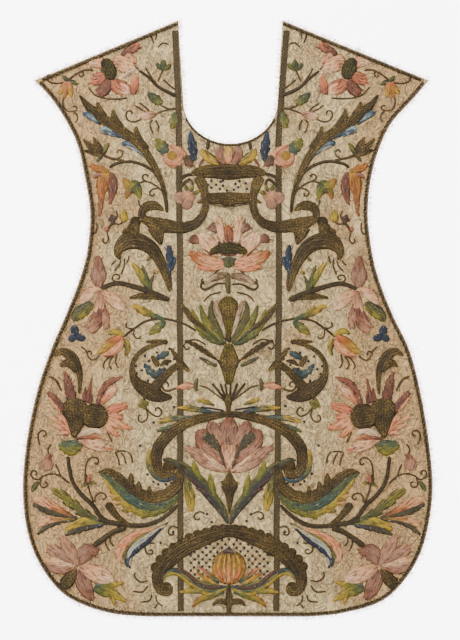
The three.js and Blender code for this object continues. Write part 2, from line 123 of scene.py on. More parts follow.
# The same for the back panel, which the front one keeps almost flat.
BACK_CREASES = (
    (-300, 360, -150, 250, 12, 0.4, 9), (280, 380, 120, 300, -14, 0.4, 10),
    (-210, 150, -60, 190, 10, 0.4, 9), (60, 120, 214, 60, -12, 0.4, 10),
    (-290, -60, -110, -20, 16, 0.4, 11), (20, -40, 60, -260, 14, 0.4, 9),
    (300, -160, 130, -230, -12, 0.4, 10), (-320, -300, -120, -360, 14, 0.4, 11),
    (-40, -330, 30, -490, -10, 0.4, 9), (270, -400, 110, -440, 10, 0.4, 9),
    (-80, 60, -30, -140, -12, 0.4, 9), (-10, 280, 30, 150, 9, 0.4, 9),
)
CREASE_OVERRUN = 0.1  # how far a crease runs past its two ends, as a share of its length
CREASE_FADE = 0.4
CREASE_TROUGH = 0.45
FRONT_DIP = 0.15  # the lowest that a crease takes the front panel
BACK_DIP = 0.09
BACK_LIFT = 0.34  # the highest that one takes the back panel, which the front lies on
PUCKER = 0.85  # height of the fine wrinkles
PUCKER_CELL = 15

# The edge cord, a little fuller than the plain one in the part; inset is from the raw edge, and
# pitch is the length of one turn of the twist.
CORD = {"width": 6.0, "height": 3.4, "inset": 4.8, "pitch": 10.5}
NECK_CORD = {"width": 3.8, "height": 2.6, "inset": 2.6, "pitch": 8}
CORD_STEP = 1.5
CORD_SIDES = 6
TIP_TRIM = 8  # how far the side cords stop short of the shoulder points
SHOULDER_TRIM = 11.4  # and the shoulder cords, which meet them there
NECK_TRIM = 3
CURVE_TRIM = 30  # where the neck cord leaves the bands

GOLD_RISE = 3.3  # height of padded gold
SILK_RISE = 2.2  # and of silk floss over a thin pad
PATTERN_STEP = (37.3, 11.7)  # moves the threads of each shape on, so that no two are alike
HEART_LIFT = 0.9  # a flower's gold heart lies on its petals
BOSS_LIFT = 1.8  # and a round one higher still
CORD_RISE = 0.55  # height of a couched cord, as a share of its width
CORD_WIDER = 1.25  # the cord's width over the width that its row gives
LATTICE = 96  # cells of smooth noise before it repeats
LATTICE_SHIFT = 300.0  # cells, so that every place on the cloth is on the positive side
ROUTE_STEPS = 16  # points of a smooth curve between two points of its route
MIRROR_SHIFT = 1.5  # the right side repeats the left about a line this far off, doubled
STRAY = ((1.4, 60, 21), (1.6, 70, 22))  # how far, over what cell and by which seed it strays
TWILL_PITCH = 5.4
TWILL_SLANT = 1.1
FRONT_CLOTH = 1.35  # thickness of the two sheets
BACK_CLOTH = 1.1
# Across a band, from edge to edge: the place, and the height as a share of its thickness.
BAND_PROFILE = (
    (-1, 0), (-0.98, 0.8), (-0.84, 1.05), (-0.62, 0.78), (-0.3, 0.9), (0, 1),
    (0.3, 0.9), (0.62, 0.78), (0.84, 1.05), (0.98, 0.8), (1, 0),
)
# Corners of one long stitch, with its points in the order root, root, tip and crown.
STITCH_FACES = ((1, 3, 0), (2, 3, 1), (0, 3, 2), (2, 1, 0))


# Stitched motifs, left side or middle: whether each is a pair, its slot, the node that it
# stands for, if any, and its rows. A row says the stitch, with a 2 before it where it is sewn on
# both sides, then the dyes, the options, and the points of its route as x,y,width in
# millimetres. A dome has x,y,radius. A line that starts with spaces carries on the one above.
MOTIFS = {
    "peony": (True, "rose_silk", "peony", """
cord bronze : -91,380,5.8 -119,394,5.1 -137,411,4.4 -155,424,3.4
cord vine : -122,396,3.1 -134,413,2.7 -144,429,2.1
cord vine : -123,404,2.4 -119,414,2.1 -114,425,2.1
cord vine : -93,391,3.1 -103,399,2.7 -114,409,2.1
silk pine,leaf : -113,423,5.1 -113,433,12 -113,443,5.1
silk leaf,pine : -114,425,5.1 -121,431,8.6 -126,438,3.4
silk lime,leaf : -112,425,5.1 -105,430,8.6 -100,436,3.4
silk wine,coral,peach,blush teeth=4 bite=.2 fringe=24 : -209,426,13.7 -221,436,22.2 -232,438,20.5
    -240,433,8.6
silk brown,coral,wine,coral rib=.3 fringe=24 : -208,418,10.3 -221,411,22.2 -230,407,18.8
    -238,407,6.8
silk brown,wine,brown,wine teeth=3 bite=.15 fringe=20 : -204,407,13.7 -211,395,22.2 -218,387,23.9
    -222,379,13.7
silk coral,wine,coral,blush teeth=5 bite=.2 fringe=30 : -201,406,17.1 -191,397,29.1 -180,392,25.6
    -174,382,10.3
silk peach,coral,coral,wine fringe=20 : -158,416,6.8 -162,401,15.4 -165,382,8.6
silk wine,peach,peach,blush teeth=5 bite=.15 fringe=34 : -199,436,13.7 -189,438,30.8 -175,431,29.1
    -163,423,15.4 -155,419,6.8
silk blush,lining lift=.6 : -180,414,3.4 -170,421,8.6 -158,426,5.1
silk coral,peach,rose rib=.4 fringe=12 : -160,435,6.8 -168,445,15.4 -179,452,12
silk brown,wine,brown,wine,coral teeth=3 bite=.2 fringe=20 : -184,450,10.3 -174,457,15.4
    -163,462,17.1 -155,471,10.3
cord brown : -186,454,2.7 -177,442,2.7 -165,433,2.7 -155,425,3.1
goldheart bronze,moss,bronze : -215,444,13.7 -209,431,25 -204,419,23.9 -199,408,12
    """),
    "shoulder_vines": (True, "gold_thread", None, """
cord vine : -134,489,2.4 -133,479,2.4 -129,469,2.1
cord vine : -124,495,2.4 -125,484,2.4 -127,476,2.1
cord vine : -123,463,2.4 -114,471,2.4 -104,468,2.1
cord vine : -242,396,2.1 -230,382,2.1 -212,376,2.1 -191,375,2.1 -174,377,1.7
cord vine : -232,423,2.7 -242,425,3.1 -252,423,3.1 -268,414,3.1 -276,406,3.1
cord vine : -252,423,2.1 -250,418,2.1 -253,413,2.1 -257,415,2.1 -256,418,1.7
silk pine,leaf : -276,404,5.1 -280,409,8.6 -286,416,3.4
silk pine,leaf : -276,406,5.1 -268,404,8.6 -259,399,3.4
silk coral,orange,yellow : -278,406,8.6 -283,395,12.8 -290,387,8.6 -294,383,3.4
silk orange,amber : -278,404,8.6 -280,390,12 -284,375,4.3
silk coral,amber,yellow : -275,406,8.6 -273,392,12 -271,377,4.3
cord vine : -282,404,2.1 -292,402,2.1 -300,402,2.1 -307,404,2.1 -311,407,2.1 -313,413,2.1
    -310,417,2.1 -306,414,1.7
cord vine : -285,377,2.1 -285,366,2.1 -282,359,2.1 -276,354,2.1 -268,354,2.1 -262,356,2.1
    -262,361,2.1 -267,363,2.1 -268,360,1.7
cord vine : -268,354,2.1 -262,349,2.1 -260,342,2.1 -262,337,2.1 -265,334,1.7
silk lime,leaf,pine teeth=3 bite=.25 : -115,366,8.6 -124,373,20.5 -133,380,15.4 -139,387,3.4
cord vine : -91,359,3.8 -104,358,3.4 -119,365,2.6
cord vine : -102,357,2.7 -115,354,2.7 -127,349,2.4
silk wine,rose,blush : -125,349,6.8 -136,348,14.5 -146,346,14.5 -154,344,5.1
cord vine : -150,341,2.1 -162,336,2.1 -170,337,2.1 -175,341,2.1 -177,347,2.1 -176,352,2.1
    -172,355,2.1 -167,353,2.1 -167,348,1.7
cord vine : -137,354,2.1 -144,361,2.1 -155,369,1.7
cord vine : -144,354,2.1 -153,358,2.1 -163,365,1.7
cord vine : -127,340,2.1 -122,330,2.1 -122,320,1.7
cord vine : -131,340,2.1 -136,334,2.1 -135,327,2.1 -133,321,2.1 -130,316,1.7
silk pine,leaf,lime teeth=2 bite=.3 : -94,353,6.8 -94,342,18.8 -97,332,17.1 -100,324,5.1
    """),
    "acanthus": (True, "gold_thread", "acanthus", """
gold bronze,gold,bronze : -257,382,3.4 -244,365,12 -230,353,15.4 -211,337,18 -192,325,18.8
    -177,315,18 -162,303,18 -139,277,14.5 -122,247,10.3 -114,226,8.6 -109,202,7.5 -107,180,5.1
gold bronze,gold : -215,342,17.1 -223,356,13.7 -226,370,4.1
gold bronze,gold : -186,318,22.2 -196,339,15.4 -200,358,4.1
gold bronze,gold : -144,286,20.5 -156,307,14.7 -160,329,4.1
cord bronze : -206,257,4.4 -196,264,4.4 -171,268,4.4 -150,263,4.6 -131,252,4.8 -122,240,5.1
    -110,218,5.1
silk navy,blue,sky,blue teeth=4 bite=.35 fringe=16 : -220,330,3.4 -232,340,9.6 -242,348,14.7
    -252,350,6.8
silk teal,blue,navy,sky teeth=5 bite=.35 fringe=20 : -174,305,4.1 -189,313,10.9 -204,318,15.4
    -215,323,15.4 -220,320,6.8
silk teal,blue,sky,blue teeth=4 bite=.3 fringe=16 : -136,267,3.4 -151,284,10.3 -167,295,14.4
    -179,299,13.7 -184,296,5.1
silk sky,lining lift=.8 : -230,337,1.7 -240,345,3.4 -249,348,1.7
silk sky,lining lift=.8 : -192,312,1.7 -204,316,3.4 -215,320,1.7
silk sky,lining lift=.8 : -156,284,1.7 -168,291,3.4 -179,295,1.7
    """),
    "mid_tulips": (True, "gold_thread", None, """
gold bronze,gold : -215,279,8.6 -225,293,13.7 -233,310,3.4
gold bronze,gold : -216,279,6.8 -235,291,12 -251,307,3.4
gold gold,bronze : -216,277,6.8 -232,283,10.3 -249,287,3.4
silk lime,leaf,moss : -206,300,3.4 -215,286,10.3 -227,267,4.3
cord vine : -217,279,4.4 -204,274,4.1 -194,272,3.8 -180,269,4.1
cord vine : -194,272,2.1 -185,277,2.1 -183,284,2.1 -188,288,2.1 -192,285,2.1 -190,282,1.7
    """),
    "neck_leaf": (True, "blue_silk", "neck_leaf", """
silk blue,navy,navy,blue rib=.5 teeth=4 bite=.34 : -61,268,5.8 -62,281,17.1 -64,295,20.5
    -66,308,13.7 -67,320,3.4
silk navy,navy lift=.9 : -62,277,2.7 -66,291,5.1 -67,305,2.7
    """),
    "neck_rose": (True, "rose_silk", "neck_rose", """
silk pine,teal,leaf,lime teeth=4 bite=.35 fringe=8 : -103,283,10.3 -111,289,23.9 -119,298,22.2
    -126,308,6.8
dome coral,peach,rose,peach,coral lobes=7 notch=.12 rise=2.4 : -94,277,22.2
silk rose,coral lift=1.4 : -110,271,3.4 -102,264,5.8 -88,262,3.4
silk coral,peach lift=1.4 : -102,293,3.4 -90,291,6.2 -80,283,3.4
silk peach,coral lift=1.5 : -88,269,3.4 -81,276,5.8 -83,286,3.4
domeheart lime,amber,yellow rise=1.1 : -98,278,9.2
silk brown,moss,wine fringe=10 : -78,277,10.3 -70,269,17.1 -63,259,5.1
cord bronze : -36,305,5.1 -37,296,5.1 -38,288,4.1
silk brown,wine : -44,273,4.1 -48,267,5.1 -53,259,3.4
    """),
    "neck_tulip": (False, "rose_silk", "neck_tulip", """
2silk mauve,wine,mauve rib=.3 fringe=8 : -6,264,8.6 -15,275,16.4 -17,287,14.7 -11,295,5.1
silk coral,peach,yellow rib=.6 : -2,264,8.6 -2,276,16.4 -2,288,16.4 -2,295,6.8
silk wine,mauve lift=.9 : -7,265,1.7 -10,277,2.7 -9,291,1.7
silk wine,mauve lift=.9 : 4,265,1.7 7,277,2.7 6,291,1.7
2silk moss,olive,yellow,yellow way=across : -17,263,5.1 -28,270,15.4 -39,278,17.1 -49,290,3.4
2cord vine : -9,264,2.7 -27,262,2.7 -44,257,2.4
    """),
    "neck_cartouche": (False, "gold_thread", "neck_cartouche", """
gold gold,bronze,gold : -67,246,6.2 -56,250,14.4 -43,251,22.2 -25,251,25 -2,250,28 21,251,25
    39,251,22.2 53,250,14.4 63,246,6.2
gold bronze,gold : -43,207,15.4 -28,205,19.5 -15,205,21.2 -2,203,26.3 12,205,21.2 25,205,19.5
    40,207,15.4
silk gold,bronze lift=3.2 : -40,196,2.1 -21,193,2.4 -2,190,2.1 18,193,2.4 37,196,2.1
silk gold,gold lift=3.2 : -42,255,1.7 -23,259,2.1 -2,260,2.1 20,259,2.1 38,255,1.7
2gold gold,bronze,gold teeth=10 bite=.12 : -56,243,15.4 -48,231,20.5 -43,217,15.4 -41,202,14.4
    -42,187,13.7 -49,171,15.4 -62,160,18.8 -81,155,21.5 -102,157,25 -119,159,27.4 -134,164,22.2
    -148,169,13.7 -156,170,5.1
2gold bronze,gold : -148,168,13.7 -150,180,13.7 -144,190,16.1 -131,193,17.1 -119,189,10.3
    -113,183,4.1
2gold gold,bronze : -126,158,32.5 -122,142,22.2 -117,125,3.4
2gold gold : -45,202,8.6 -56,197,3.4
2cord bronze : -62,246,5.1 -72,245,5.1 -80,241,5.1 -86,233,4.4
2cord bronze : -66,239,4.4 -74,234,4.8 -84,225,4.4
2cord vine : -66,238,3.4 -63,229,3.4 -64,219,2.4
    """),
    "side_bud": (True, "rose_silk", "side_bud", """
dome mauve,rose,mauve rise=2.2 : -84,206,12
dome mauve,rose,peach rise=2.5 : -71,209,13.7
dome wine,mauve,rose rise=2 : -73,196,11.3
silk wine,mauve lift=1.6 : -81,197,1.7 -76,206,2.7 -68,209,1.7
silk moss,leaf,lime : -71,216,5.1 -74,222,7.5 -76,230,2.7
silk moss,lime : -68,215,5.1 -64,222,6.8 -62,229,2.7
silk leaf,lime : -64,211,5.1 -57,215,7.9 -50,219,2.7
    """),
    "lily": (True, "amber_silk", "lily", """
silk wine,brown,wine rib=.6 fringe=6 : -204,250,6.8 -199,236,14.7 -200,219,16.1 -205,194,3.4
silk mauve,wine : -215,245,5.1 -225,245,8.6 -233,239,3.4
silk yellow,amber,orange,amber,wine rib=.5 fringe=16 : -209,252,10.3 -214,240,23.9 -217,226,23.3
    -219,214,14.7 -220,197,9.2 -222,173,2.7
silk brown,orange lift=.9 : -213,242,2.4 -216,226,3.4 -219,202,2.1
silk olive,amber lift=.8 : -208,243,2.4 -211,230,3.4 -214,216,2.1
silk amber,orange lift=.7 : -219,242,2.4 -222,228,3.1 -222,214,2.1
silk yellow,amber,orange fringe=10 : -206,249,8.6 -220,254,13 -230,257,11.3 -239,263,3.4
    """),
    "flank_sprays": (True, "green_silk", None, """
silk leaf,lime,amber teeth=3 bite=.25 : -158,225,13.7 -172,228,20.5 -183,240,3.4
silk leaf,olive,amber teeth=2 bite=.25 : -162,226,17.1 -172,217,15.4 -178,204,3.4
silk pine,leaf,lime : -163,230,18.8 -157,218,17.1 -152,204,3.4
dome pine,leaf,leaf rise=1.8 : -162,227,10.3
silk yellow,lime lift=1.2 : -163,226,2.1 -172,225,2.7 -180,235,1.7
dome brown,bronze lobes=4 notch=.28 rise=1.7 : -200,170,8.6
dome brown,coral rise=1.2 : -210,152,5.1
cord vine : -160,229,2.7 -145,234,2.7 -131,230,2.7 -116,218,3.1 -110,209,3.4
cord vine : -141,234,2.1 -147,237,2.1 -149,242,2.1 -145,246,2.1 -139,244,2.1 -142,241,1.7
cord vine : -122,222,2.1 -131,221,2.1 -137,215,2.1 -133,209,2.1 -129,211,2.1 -130,215,1.7
silk moss,yellow,lime : -181,163,5.1 -181,173,16.2 -181,187,3.4
cord vine : -181,165,2.4 -189,161,2.4 -199,161,2.4 -209,149,2.4 -207,136,2.4 -212,128,2.4
    -217,133,2.4 -214,137,1.7
cord vine : -199,165,2.4 -204,159,2.4 -208,153,2.4
cord vine : -195,185,2.1 -192,178,2.1 -192,171,1.7
cord vine : -228,165,2.1 -227,153,2.1 -232,144,2.1 -237,149,1.7
cord vine : -156,204,2.1 -153,192,2.1 -143,183,2.1 -138,187,1.7
    """),
    "great_scroll": (True, "gold_thread", "great_scroll", """
gold gold,bronze,gold : -102,45,5.1 -108,71,13.7 -118,96,18.8 -132,118,23.9 -151,130,28
    -171,133,31.8 -185,124,23.9 -191,112,14.7 -187,100,5.1
gold bronze,gold : -160,170,10.3 -161,158,15.4 -163,144,20.5
dome bronze,bronze rise=2.8 metal=1 : -161,165,9.6
dome bronze,gold rise=2.9 metal=1 : -165,153,10.9
dome gold,bronze rise=2.6 metal=1 : -176,146,8.6
silk gold,bronze lift=3 : -180,118,1.7 -167,123,2.4 -150,122,2.4 -136,116,1.7
silk bronze,gold lift=3 : -180,129,1.7 -165,134,2.4 -148,133,2.4 -133,125,1.7
gold gold : -134,105,5.1 -139,101,5.1 -142,98,2.7
gold bright,gold : -121,81,8.6 -127,79,7.5 -131,76,3.4
cord vine : -194,100,2.1 -198,95,2.1 -203,91,1.7
cord vine : -186,100,2.1 -189,90,2.1 -198,81,1.7
cord vine : -180,103,2.1 -180,90,2.1 -186,75,1.7
cord vine : -172,108,2.1 -173,101,2.1 -176,94,1.7
    """),
    "navy_leaf": (True, "blue_silk", None, """
silk navy,navy,blue,navy teeth=4 bite=.3 fringe=16 : -102,67,3.4 -103,86,10.3 -102,103,15.4
    -103,115,12.7 -104,126,3.4
silk sky,lining lift=.8 : -102,86,1.7 -104,98,3.1 -102,108,1.7
silk navy,blue : -100,81,3.4 -95,94,6.2 -93,106,3.4
silk bronze,brown : -101,47,4.1 -101,60,6.2 -102,76,3.4
    """),
    "three_petal": (True, "rose_silk", "three_petal", """
silk wine,mauve,wine rib=.7 teeth=5 bite=.14 fringe=20 : -223,51,8.6 -224,71,30.8 -224,89,22.2
    -224,108,3.4
silk rose,peach,blush way=across fringe=20 : -221,51,6.8 -235,46,17.1 -245,38,20.5 -257,24,6.8
silk wine,rose,peach rib=.5 fringe=20 : -220,48,6.8 -220,31,17.1 -223,14,18.8 -227,0,10.3
silk rose,peach,blush rib=.5 fringe=20 : -218,47,6.8 -207,38,18.8 -194,27,22.2 -180,13,10.3
silk brown,wine,rose fringe=20 : -221,18,13.7 -227,-1,23.9 -235,-15,23.9 -243,-22,12
silk wine,rose fringe=20 : -216,18,10.3 -212,0,15.4 -212,-20,5.1
silk pine,moss,lime way=across teeth=4 bite=.2 : -233,26,8.6 -247,16,25.6 -260,6,23.9 -268,-5,8.6
cord bronze : -220,50,5.8 -208,56,6.5 -192,60,6.8 -174,57,7.2 -153,51,7.5 -136,45,7.9 -119,38,8.2
    -105,31,8.6
cord vine : -192,60,2.1 -200,66,2.1 -199,73,2.1 -193,75,2.1 -188,72,2.1 -190,67,2.1 -194,68,1.7
    """),
    "trefoil": (True, "blue_silk", None, """
silk navy,navy,blue way=edge : -263,-30,10.3 -265,-20,15.4 -266,-11,6.8
silk navy,navy,blue way=edge : -263,-29,8.6 -269,-34,13.7 -276,-37,8.6
silk navy,navy,blue way=edge : -263,-29,8.6 -256,-33,13.7 -246,-36,8.6
    """),
    "mid_spray": (True, "green_silk", "mid_spray", """
gold bronze,gold : -102,31,8.6 -122,37,12 -146,38,12 -172,35,4.1
silk pine,leaf,lime,yellow : -136,47,6.8 -144,64,15.4 -156,81,12 -168,97,3.4
silk pine,leaf : -135,47,6.8 -143,69,10.3 -150,92,3.4
silk leaf,moss : -134,46,5.1 -135,60,6.8 -129,74,2.7
silk teal,leaf,yellow teeth=5 bite=.35 : -110,-3,5.1 -131,5,13.7 -150,14,17.1 -168,22,5.1
silk teal,leaf,lime teeth=3 bite=.3 : -109,-5,8.6 -124,-17,18.8 -138,-28,5.1
cord bronze : -181,-32,3.4 -172,-24,3.4 -162,-17,3.4 -143,-5,3.4 -117,-1,3.4 -91,-5,3.4 -71,-13,3.4
    -57,-22,3.4
cord vine : -163,-18,2.1 -164,-27,2.1 -160,-34,2.1 -154,-34,2.1 -152,-30,1.7
cord vine : -175,-7,2.1 -177,-14,2.1 -170,-18,2.1 -160,-16,1.7
    """),
    "yellow_bud": (True, "amber_silk", "yellow_bud", """
silk moss,yellow,lime : -180,-33,3.4 -186,-26,10.3 -198,-23,10.3 -208,-28,3.4
silk coral,orange,amber,yellow rib=.3 : -182,-32,12 -198,-40,18.8 -211,-50,16.4 -225,-60,4.1
silk coral,peach,coral fringe=8 : -182,-37,10.3 -191,-49,17.1 -203,-59,13.7 -218,-64,3.4
silk moss,leaf,yellow way=across : -180,-35,6.8 -175,-46,12 -175,-54,8.6 -178,-65,3.4
cord vine : -200,-63,2.1 -211,-71,2.1 -216,-81,2.1 -213,-87,1.7
cord vine : -198,-63,2.1 -205,-74,2.1 -205,-83,2.1 -201,-87,1.7
cord vine : -192,-60,2.1 -195,-72,2.1 -193,-81,2.1 -189,-85,1.7
cord vine : -222,-62,2.4 -228,-69,2.4 -236,-71,2.4 -242,-65,2.4 -246,-55,2.4 -255,-48,2.4
cord vine : -244,-60,2.1 -240,-56,2.1 -236,-59,2.1 -238,-64,1.7
    """),
    "fan_flower": (False, "rose_silk", "fan_flower", """
2silk blush,peach,blush rib=.4 fringe=26 : -13,108,13.7 -28,120,25.6 -42,134,27.4 -49,146,8.6
2silk coral,peach,orange fringe=26 : -9,94,12 -32,96,22.2 -52,103,22.2 -70,113,6.8
2silk peach,coral fringe=14 : -8,89,8.6 -33,86,13.7 -57,88,5.1
2silk blush,peach rib=.5 fringe=14 : -6,124,8.6 -15,142,17.1 -18,161,13.7 -20,177,3.4
2silk wine,brown,mauve,brown fringe=16 : -20,142,3.4 -25,152,13.7 -34,160,30.8
2silk mauve,wine,brown fringe=12 : -51,128,3.4 -58,133,15.4 -68,138,25.6
2cord wine : -30,105,2.7 -41,118,3.1 -52,130,2.7
2cord wine : -15,129,2.7 -17,137,3.1 -21,146,2.7
silk brown,wine,brown,wine,orange rib=.6 fringe=40 : -2,106,34.2 -2,127,37.6 -2,144,22.2 -2,160,6.8
goldheart olive,bronze,moss,bronze,olive teeth=9 bite=.2 : -34,112,10.3 -18,118,20.5 -2,120,25.6
    15,118,20.5 31,112,10.3
silk teal,moss,leaf : -2,105,27.4 -2,96,30.8 -2,86,13.7
2cord vine : -16,86,2.4 -30,72,2.4 -42,59,2.4 -48,63,2.1 -45,68,1.7
    """),
    "centre_bud": (False, "green_silk", "centre_bud", """
2silk pine,leaf,lime teeth=4 bite=.3 fringe=8 : -13,-46,6.8 -40,-30,15.4 -55,-10,15.4 -64,16,4.1
2gold bronze,gold : -38,-22,6.8 -59,-6,10.3 -73,11,10.3 -83,26,3.4
silk bronze,olive,gold,olive rib=.4 metal=1 : -1,-42,6.8 -1,-22,17.1 -1,2,27.4 -2,24,34.2 -2,38,22.2
2silk mauve,lining,mauve : -6,-34,5.1 -14,-8,9.2 -21,16,9.6 -24,31,5.1
2silk moss,leaf,olive,moss : -6,-44,5.1 -17,-29,15.4 -28,-6,15.4 -32,14,10.3 -29,31,3.4
2silk moss,lime,leaf : -11,-44,5.1 -32,-18,12 -44,2,12 -50,23,3.4
2silk pine,leaf : -9,-46,5.1 -30,-27,8.6 -49,-12,8.6 -62,-1,3.4
silk moss,olive,gold : -2,41,6.8 -3,59,10.3 -3,79,7.5
2silk olive,gold,mauve,lining : -3,74,8.6 -17,72,13.7 -32,67,12 -44,59,3.4
2cord bronze : -4,59,2.7 -21,59,3.1 -34,52,3.8 -43,49,3.8 -49,54,3.4 -46,62,3.1 -40,60,2.7
2cord vine : -13,45,2.1 -32,40,2.1 -44,29,1.7
2cord vine : -40,-46,2.4 -56,-37,2.4 -71,-39,2.4 -78,-47,2.4 -73,-54,2.1 -68,-49,1.7
    """),
    "centre_stem": (False, "gold_thread", "centre_stem", """
silk olive,gold,olive metal=1 : -1,-42,10.3 -1,-58,25.6 -1,-75,35.9 -1,-92,23.9 -1,-114,13.7
2gold bronze,vine teeth=6 bite=.4 : -77,-38,5.1 -61,-45,10.3 -42,-57,11.3 -22,-71,5.1
2cord bronze : -22,-70,3.4 -13,-80,3.8 -4,-94,3.4
2silk leaf,olive,navy : -21,-82,5.1 -37,-75,7.5 -52,-67,3.4
gold bronze,gold : -1,-169,9.2 -2,-155,8.2 -2,-142,13.7 -2,-130,6.8
cord bronze : -2,-143,3.8 -5,-128,3.4 -7,-111,3.1
cord bronze : -2,-143,3.8 1,-128,3.4 2,-111,3.1
2cord bronze : -3,-143,3.8 -10,-128,3.8 -16,-111,3.1
2cord bronze : -4,-143,4.1 -15,-130,4.1 -30,-111,3.1
2cord vine : -6,-143,2.1 -22,-131,2.1 -39,-119,2.1 -53,-115,1.7
    """),
    "shell": (True, "gold_thread", "shell", """
gold gold,bronze : -105,-40,5.1 -129,-46,7.5 -150,-56,8.6 -163,-71,8.6 -167,-87,9.6 -163,-104,15.4
    -151,-117,23.9 -134,-127,29.1 -117,-134,20.5 -98,-135,5.1
gold bronze,gold : -105,-41,8.6 -124,-40,8.6 -144,-40,3.4
gold bronze,gold : -131,-123,20.5 -114,-102,15.4 -98,-87,12 -85,-80,10.3 -68,-91,5.1
gold gold,bronze : -100,-51,5.1 -93,-63,8.6 -81,-78,10.3 -68,-90,3.4
gold gold,bronze : -143,-121,13.7 -144,-131,8.6 -146,-141,3.4
silk blue,teal,navy teeth=4 bite=.5 : -146,-77,5.1 -137,-90,17.1 -126,-97,17.1 -115,-90,13.7
    -109,-85,3.4
silk blue,teal teeth=3 bite=.45 : -126,-68,6.8 -115,-64,15.4 -103,-57,6.8
gold bronze,gold : -134,-64,3.4 -128,-71,10.3 -122,-83,8.6
gold gold,bronze : -119,-82,3.4 -110,-75,8.6 -98,-73,3.4
dome lime,olive lobes=4 notch=.22 rise=2.2 : -147,-147,9.9
cord vine : -143,-155,2.1 -140,-164,2.1 -142,-173,2.1 -150,-178,2.1 -156,-174,2.1 -155,-167,2.1
    -151,-166,1.7
cord vine : -143,-153,2.1 -133,-164,2.1 -122,-168,2.1 -116,-161,2.1 -121,-153,2.1 -127,-156,2.1
    -125,-160,1.7
silk coral,peach,coral fringe=6 : -60,-116,5.1 -70,-115,12 -80,-117,10.9 -92,-119,3.4
silk moss,olive,moss : -56,-126,3.4 -58,-115,8.6 -55,-102,3.4
cord vine : -91,-119,3.4 -100,-123,3.4 -109,-124,3.4 -115,-118,3.4 -114,-111,3.1 -108,-109,2.7
    -104,-114,2.7 -107,-118,2.4
    """),
    "hook_leaf": (True, "gold_thread", "hook_leaf", """
gold gold,bronze,gold : -257,-130,5.1 -256,-107,8.6 -258,-88,13 -266,-71,17.8 -276,-61,17.1
    -288,-57,12 -300,-65,3.4
gold bronze,gold : -261,-92,10.3 -271,-79,15.4 -281,-77,12.7 -290,-83,3.4
cord vine : -310,-100,2.7 -301,-103,3.4 -294,-111,3.4 -287,-125,2.4
    """),
    "pomegranate": (True, "rose_silk", "pomegranate", """
silk lime,lime,leaf,teal way=across teeth=4 bite=.18 fringe=10 : -293,-218,10.3 -283,-219,23.9
    -272,-222,30.8 -261,-219,23.9 -251,-218,10.3
silk wine,brown,wine rib=.3 teeth=5 bite=.3 fringe=16 : -269,-145,20.5 -272,-130,22.2 -275,-116,18.1
    -279,-102,11.3 -282,-91,3.4
silk brown,wine : -242,-145,12 -242,-133,8.6 -239,-119,5.8 -235,-101,2.4
silk wine,brown : -249,-143,10.3 -248,-133,7.5 -246,-118,2.7
silk brown,wine : -239,-148,6.8 -236,-136,5.1 -237,-123,2.4
silk brown,wine,wine teeth=5 bite=.3 rib=.3 : -227,-152,8.6 -220,-128,12 -209,-112,14.4 -198,-106,12
    -182,-100,3.4
silk peach,coral,blush fringe=30 : -220,-148,5.1 -211,-135,14.7 -200,-124,13 -192,-113,3.4
silk wine,coral,coral fringe=18 : -213,-164,13.7 -201,-157,18.1 -187,-152,14.7 -174,-149,3.4
silk peach,coral fringe=16 : -211,-167,13.7 -198,-168,17.1 -182,-171,5.1
silk coral,peach,coral rib=.3 teeth=5 bite=.35 fringe=26 : -216,-169,17.1 -203,-176,23.9
    -186,-183,17.1 -167,-189,3.4
silk peach,coral fringe=10 : -211,-181,10.3 -201,-193,12 -189,-203,3.4
silk blush,lining,blush : -261,-203,5.1 -245,-195,13.7 -228,-193,12 -215,-198,5.1
silk rose,peach,blush rib=.3 fringe=28 : -259,-208,8.6 -242,-214,17.1 -223,-219,19.8 -200,-225,5.1
silk brown,wine,coral lift=.5 : -264,-206,5.1 -249,-204,9.2 -232,-203,6.2 -215,-206,2.4
silk wine,coral lift=.6 : -220,-219,3.4 -209,-223,6.8 -199,-224,3.4
silk coral,coral,peach fringe=18 : -271,-198,10.3 -277,-184,18.8 -285,-173,14.7 -294,-165,3.4
silk coral,peach : -281,-182,6.8 -296,-174,9.2 -309,-169,3.4
silk coral,peach : -278,-191,6.8 -292,-186,9.2 -304,-182,3.4
silk coral,blush : -274,-198,6.8 -288,-196,9.2 -299,-195,3.4
silk wine,brown,wine fringe=10 : -283,-159,13.7 -294,-145,14.7 -302,-135,11.3 -310,-125,3.4
silk coral,peach lift=.4 fringe=12 : -288,-160,3.4 -299,-148,6.5 -309,-135,3.4
goldheart gold,bronze,gold teeth=7 bite=.05 : -263,-136,20.5 -264,-150,46.2 -263,-165,46.2
    -264,-183,29.1 -266,-205,6.8
goldheart gold,bronze,gold : -249,-164,30.8 -235,-167,42.8 -220,-168,39.3 -206,-169,18.8
silk mauve,rose,wine fringe=8 : -311,-261,15.4 -312,-251,23.9 -311,-241,15.4 -307,-231,3.4
cord vine : -210,-193,2.4 -206,-201,2.4 -200,-212,2.1
cord vine : -196,-229,1.7 -186,-227,2.1 -175,-228,2.1
cord bronze : -276,-236,5.1 -274,-256,5.5 -268,-280,5.8 -254,-301,6.2 -234,-320,6.5 -221,-339,6.5
    -204,-350,6.2
cord vine : -324,-217,2.1 -327,-208,2.1 -327,-198,2.1 -321,-192,2.1 -315,-194,2.1 -314,-200,2.1
    -320,-202,1.7
cord vine : -304,-215,2.1 -310,-222,2.1 -310,-230,2.1 -305,-237,1.7
cord vine : -298,-249,2.4 -293,-259,2.4 -288,-271,2.4 -273,-283,2.7
cord vine : -247,-283,2.1 -247,-266,2.1 -245,-249,2.1 -239,-240,2.1 -229,-238,2.1 -224,-244,2.1
    -228,-250,2.1 -232,-246,1.7
cord vine : -196,-229,2.1 -191,-239,2.1 -188,-252,1.7
cord vine : -186,-229,2.1 -180,-238,2.1 -177,-250,1.7
cord vine : -175,-227,2.1 -168,-236,2.1 -166,-248,1.7
    """),
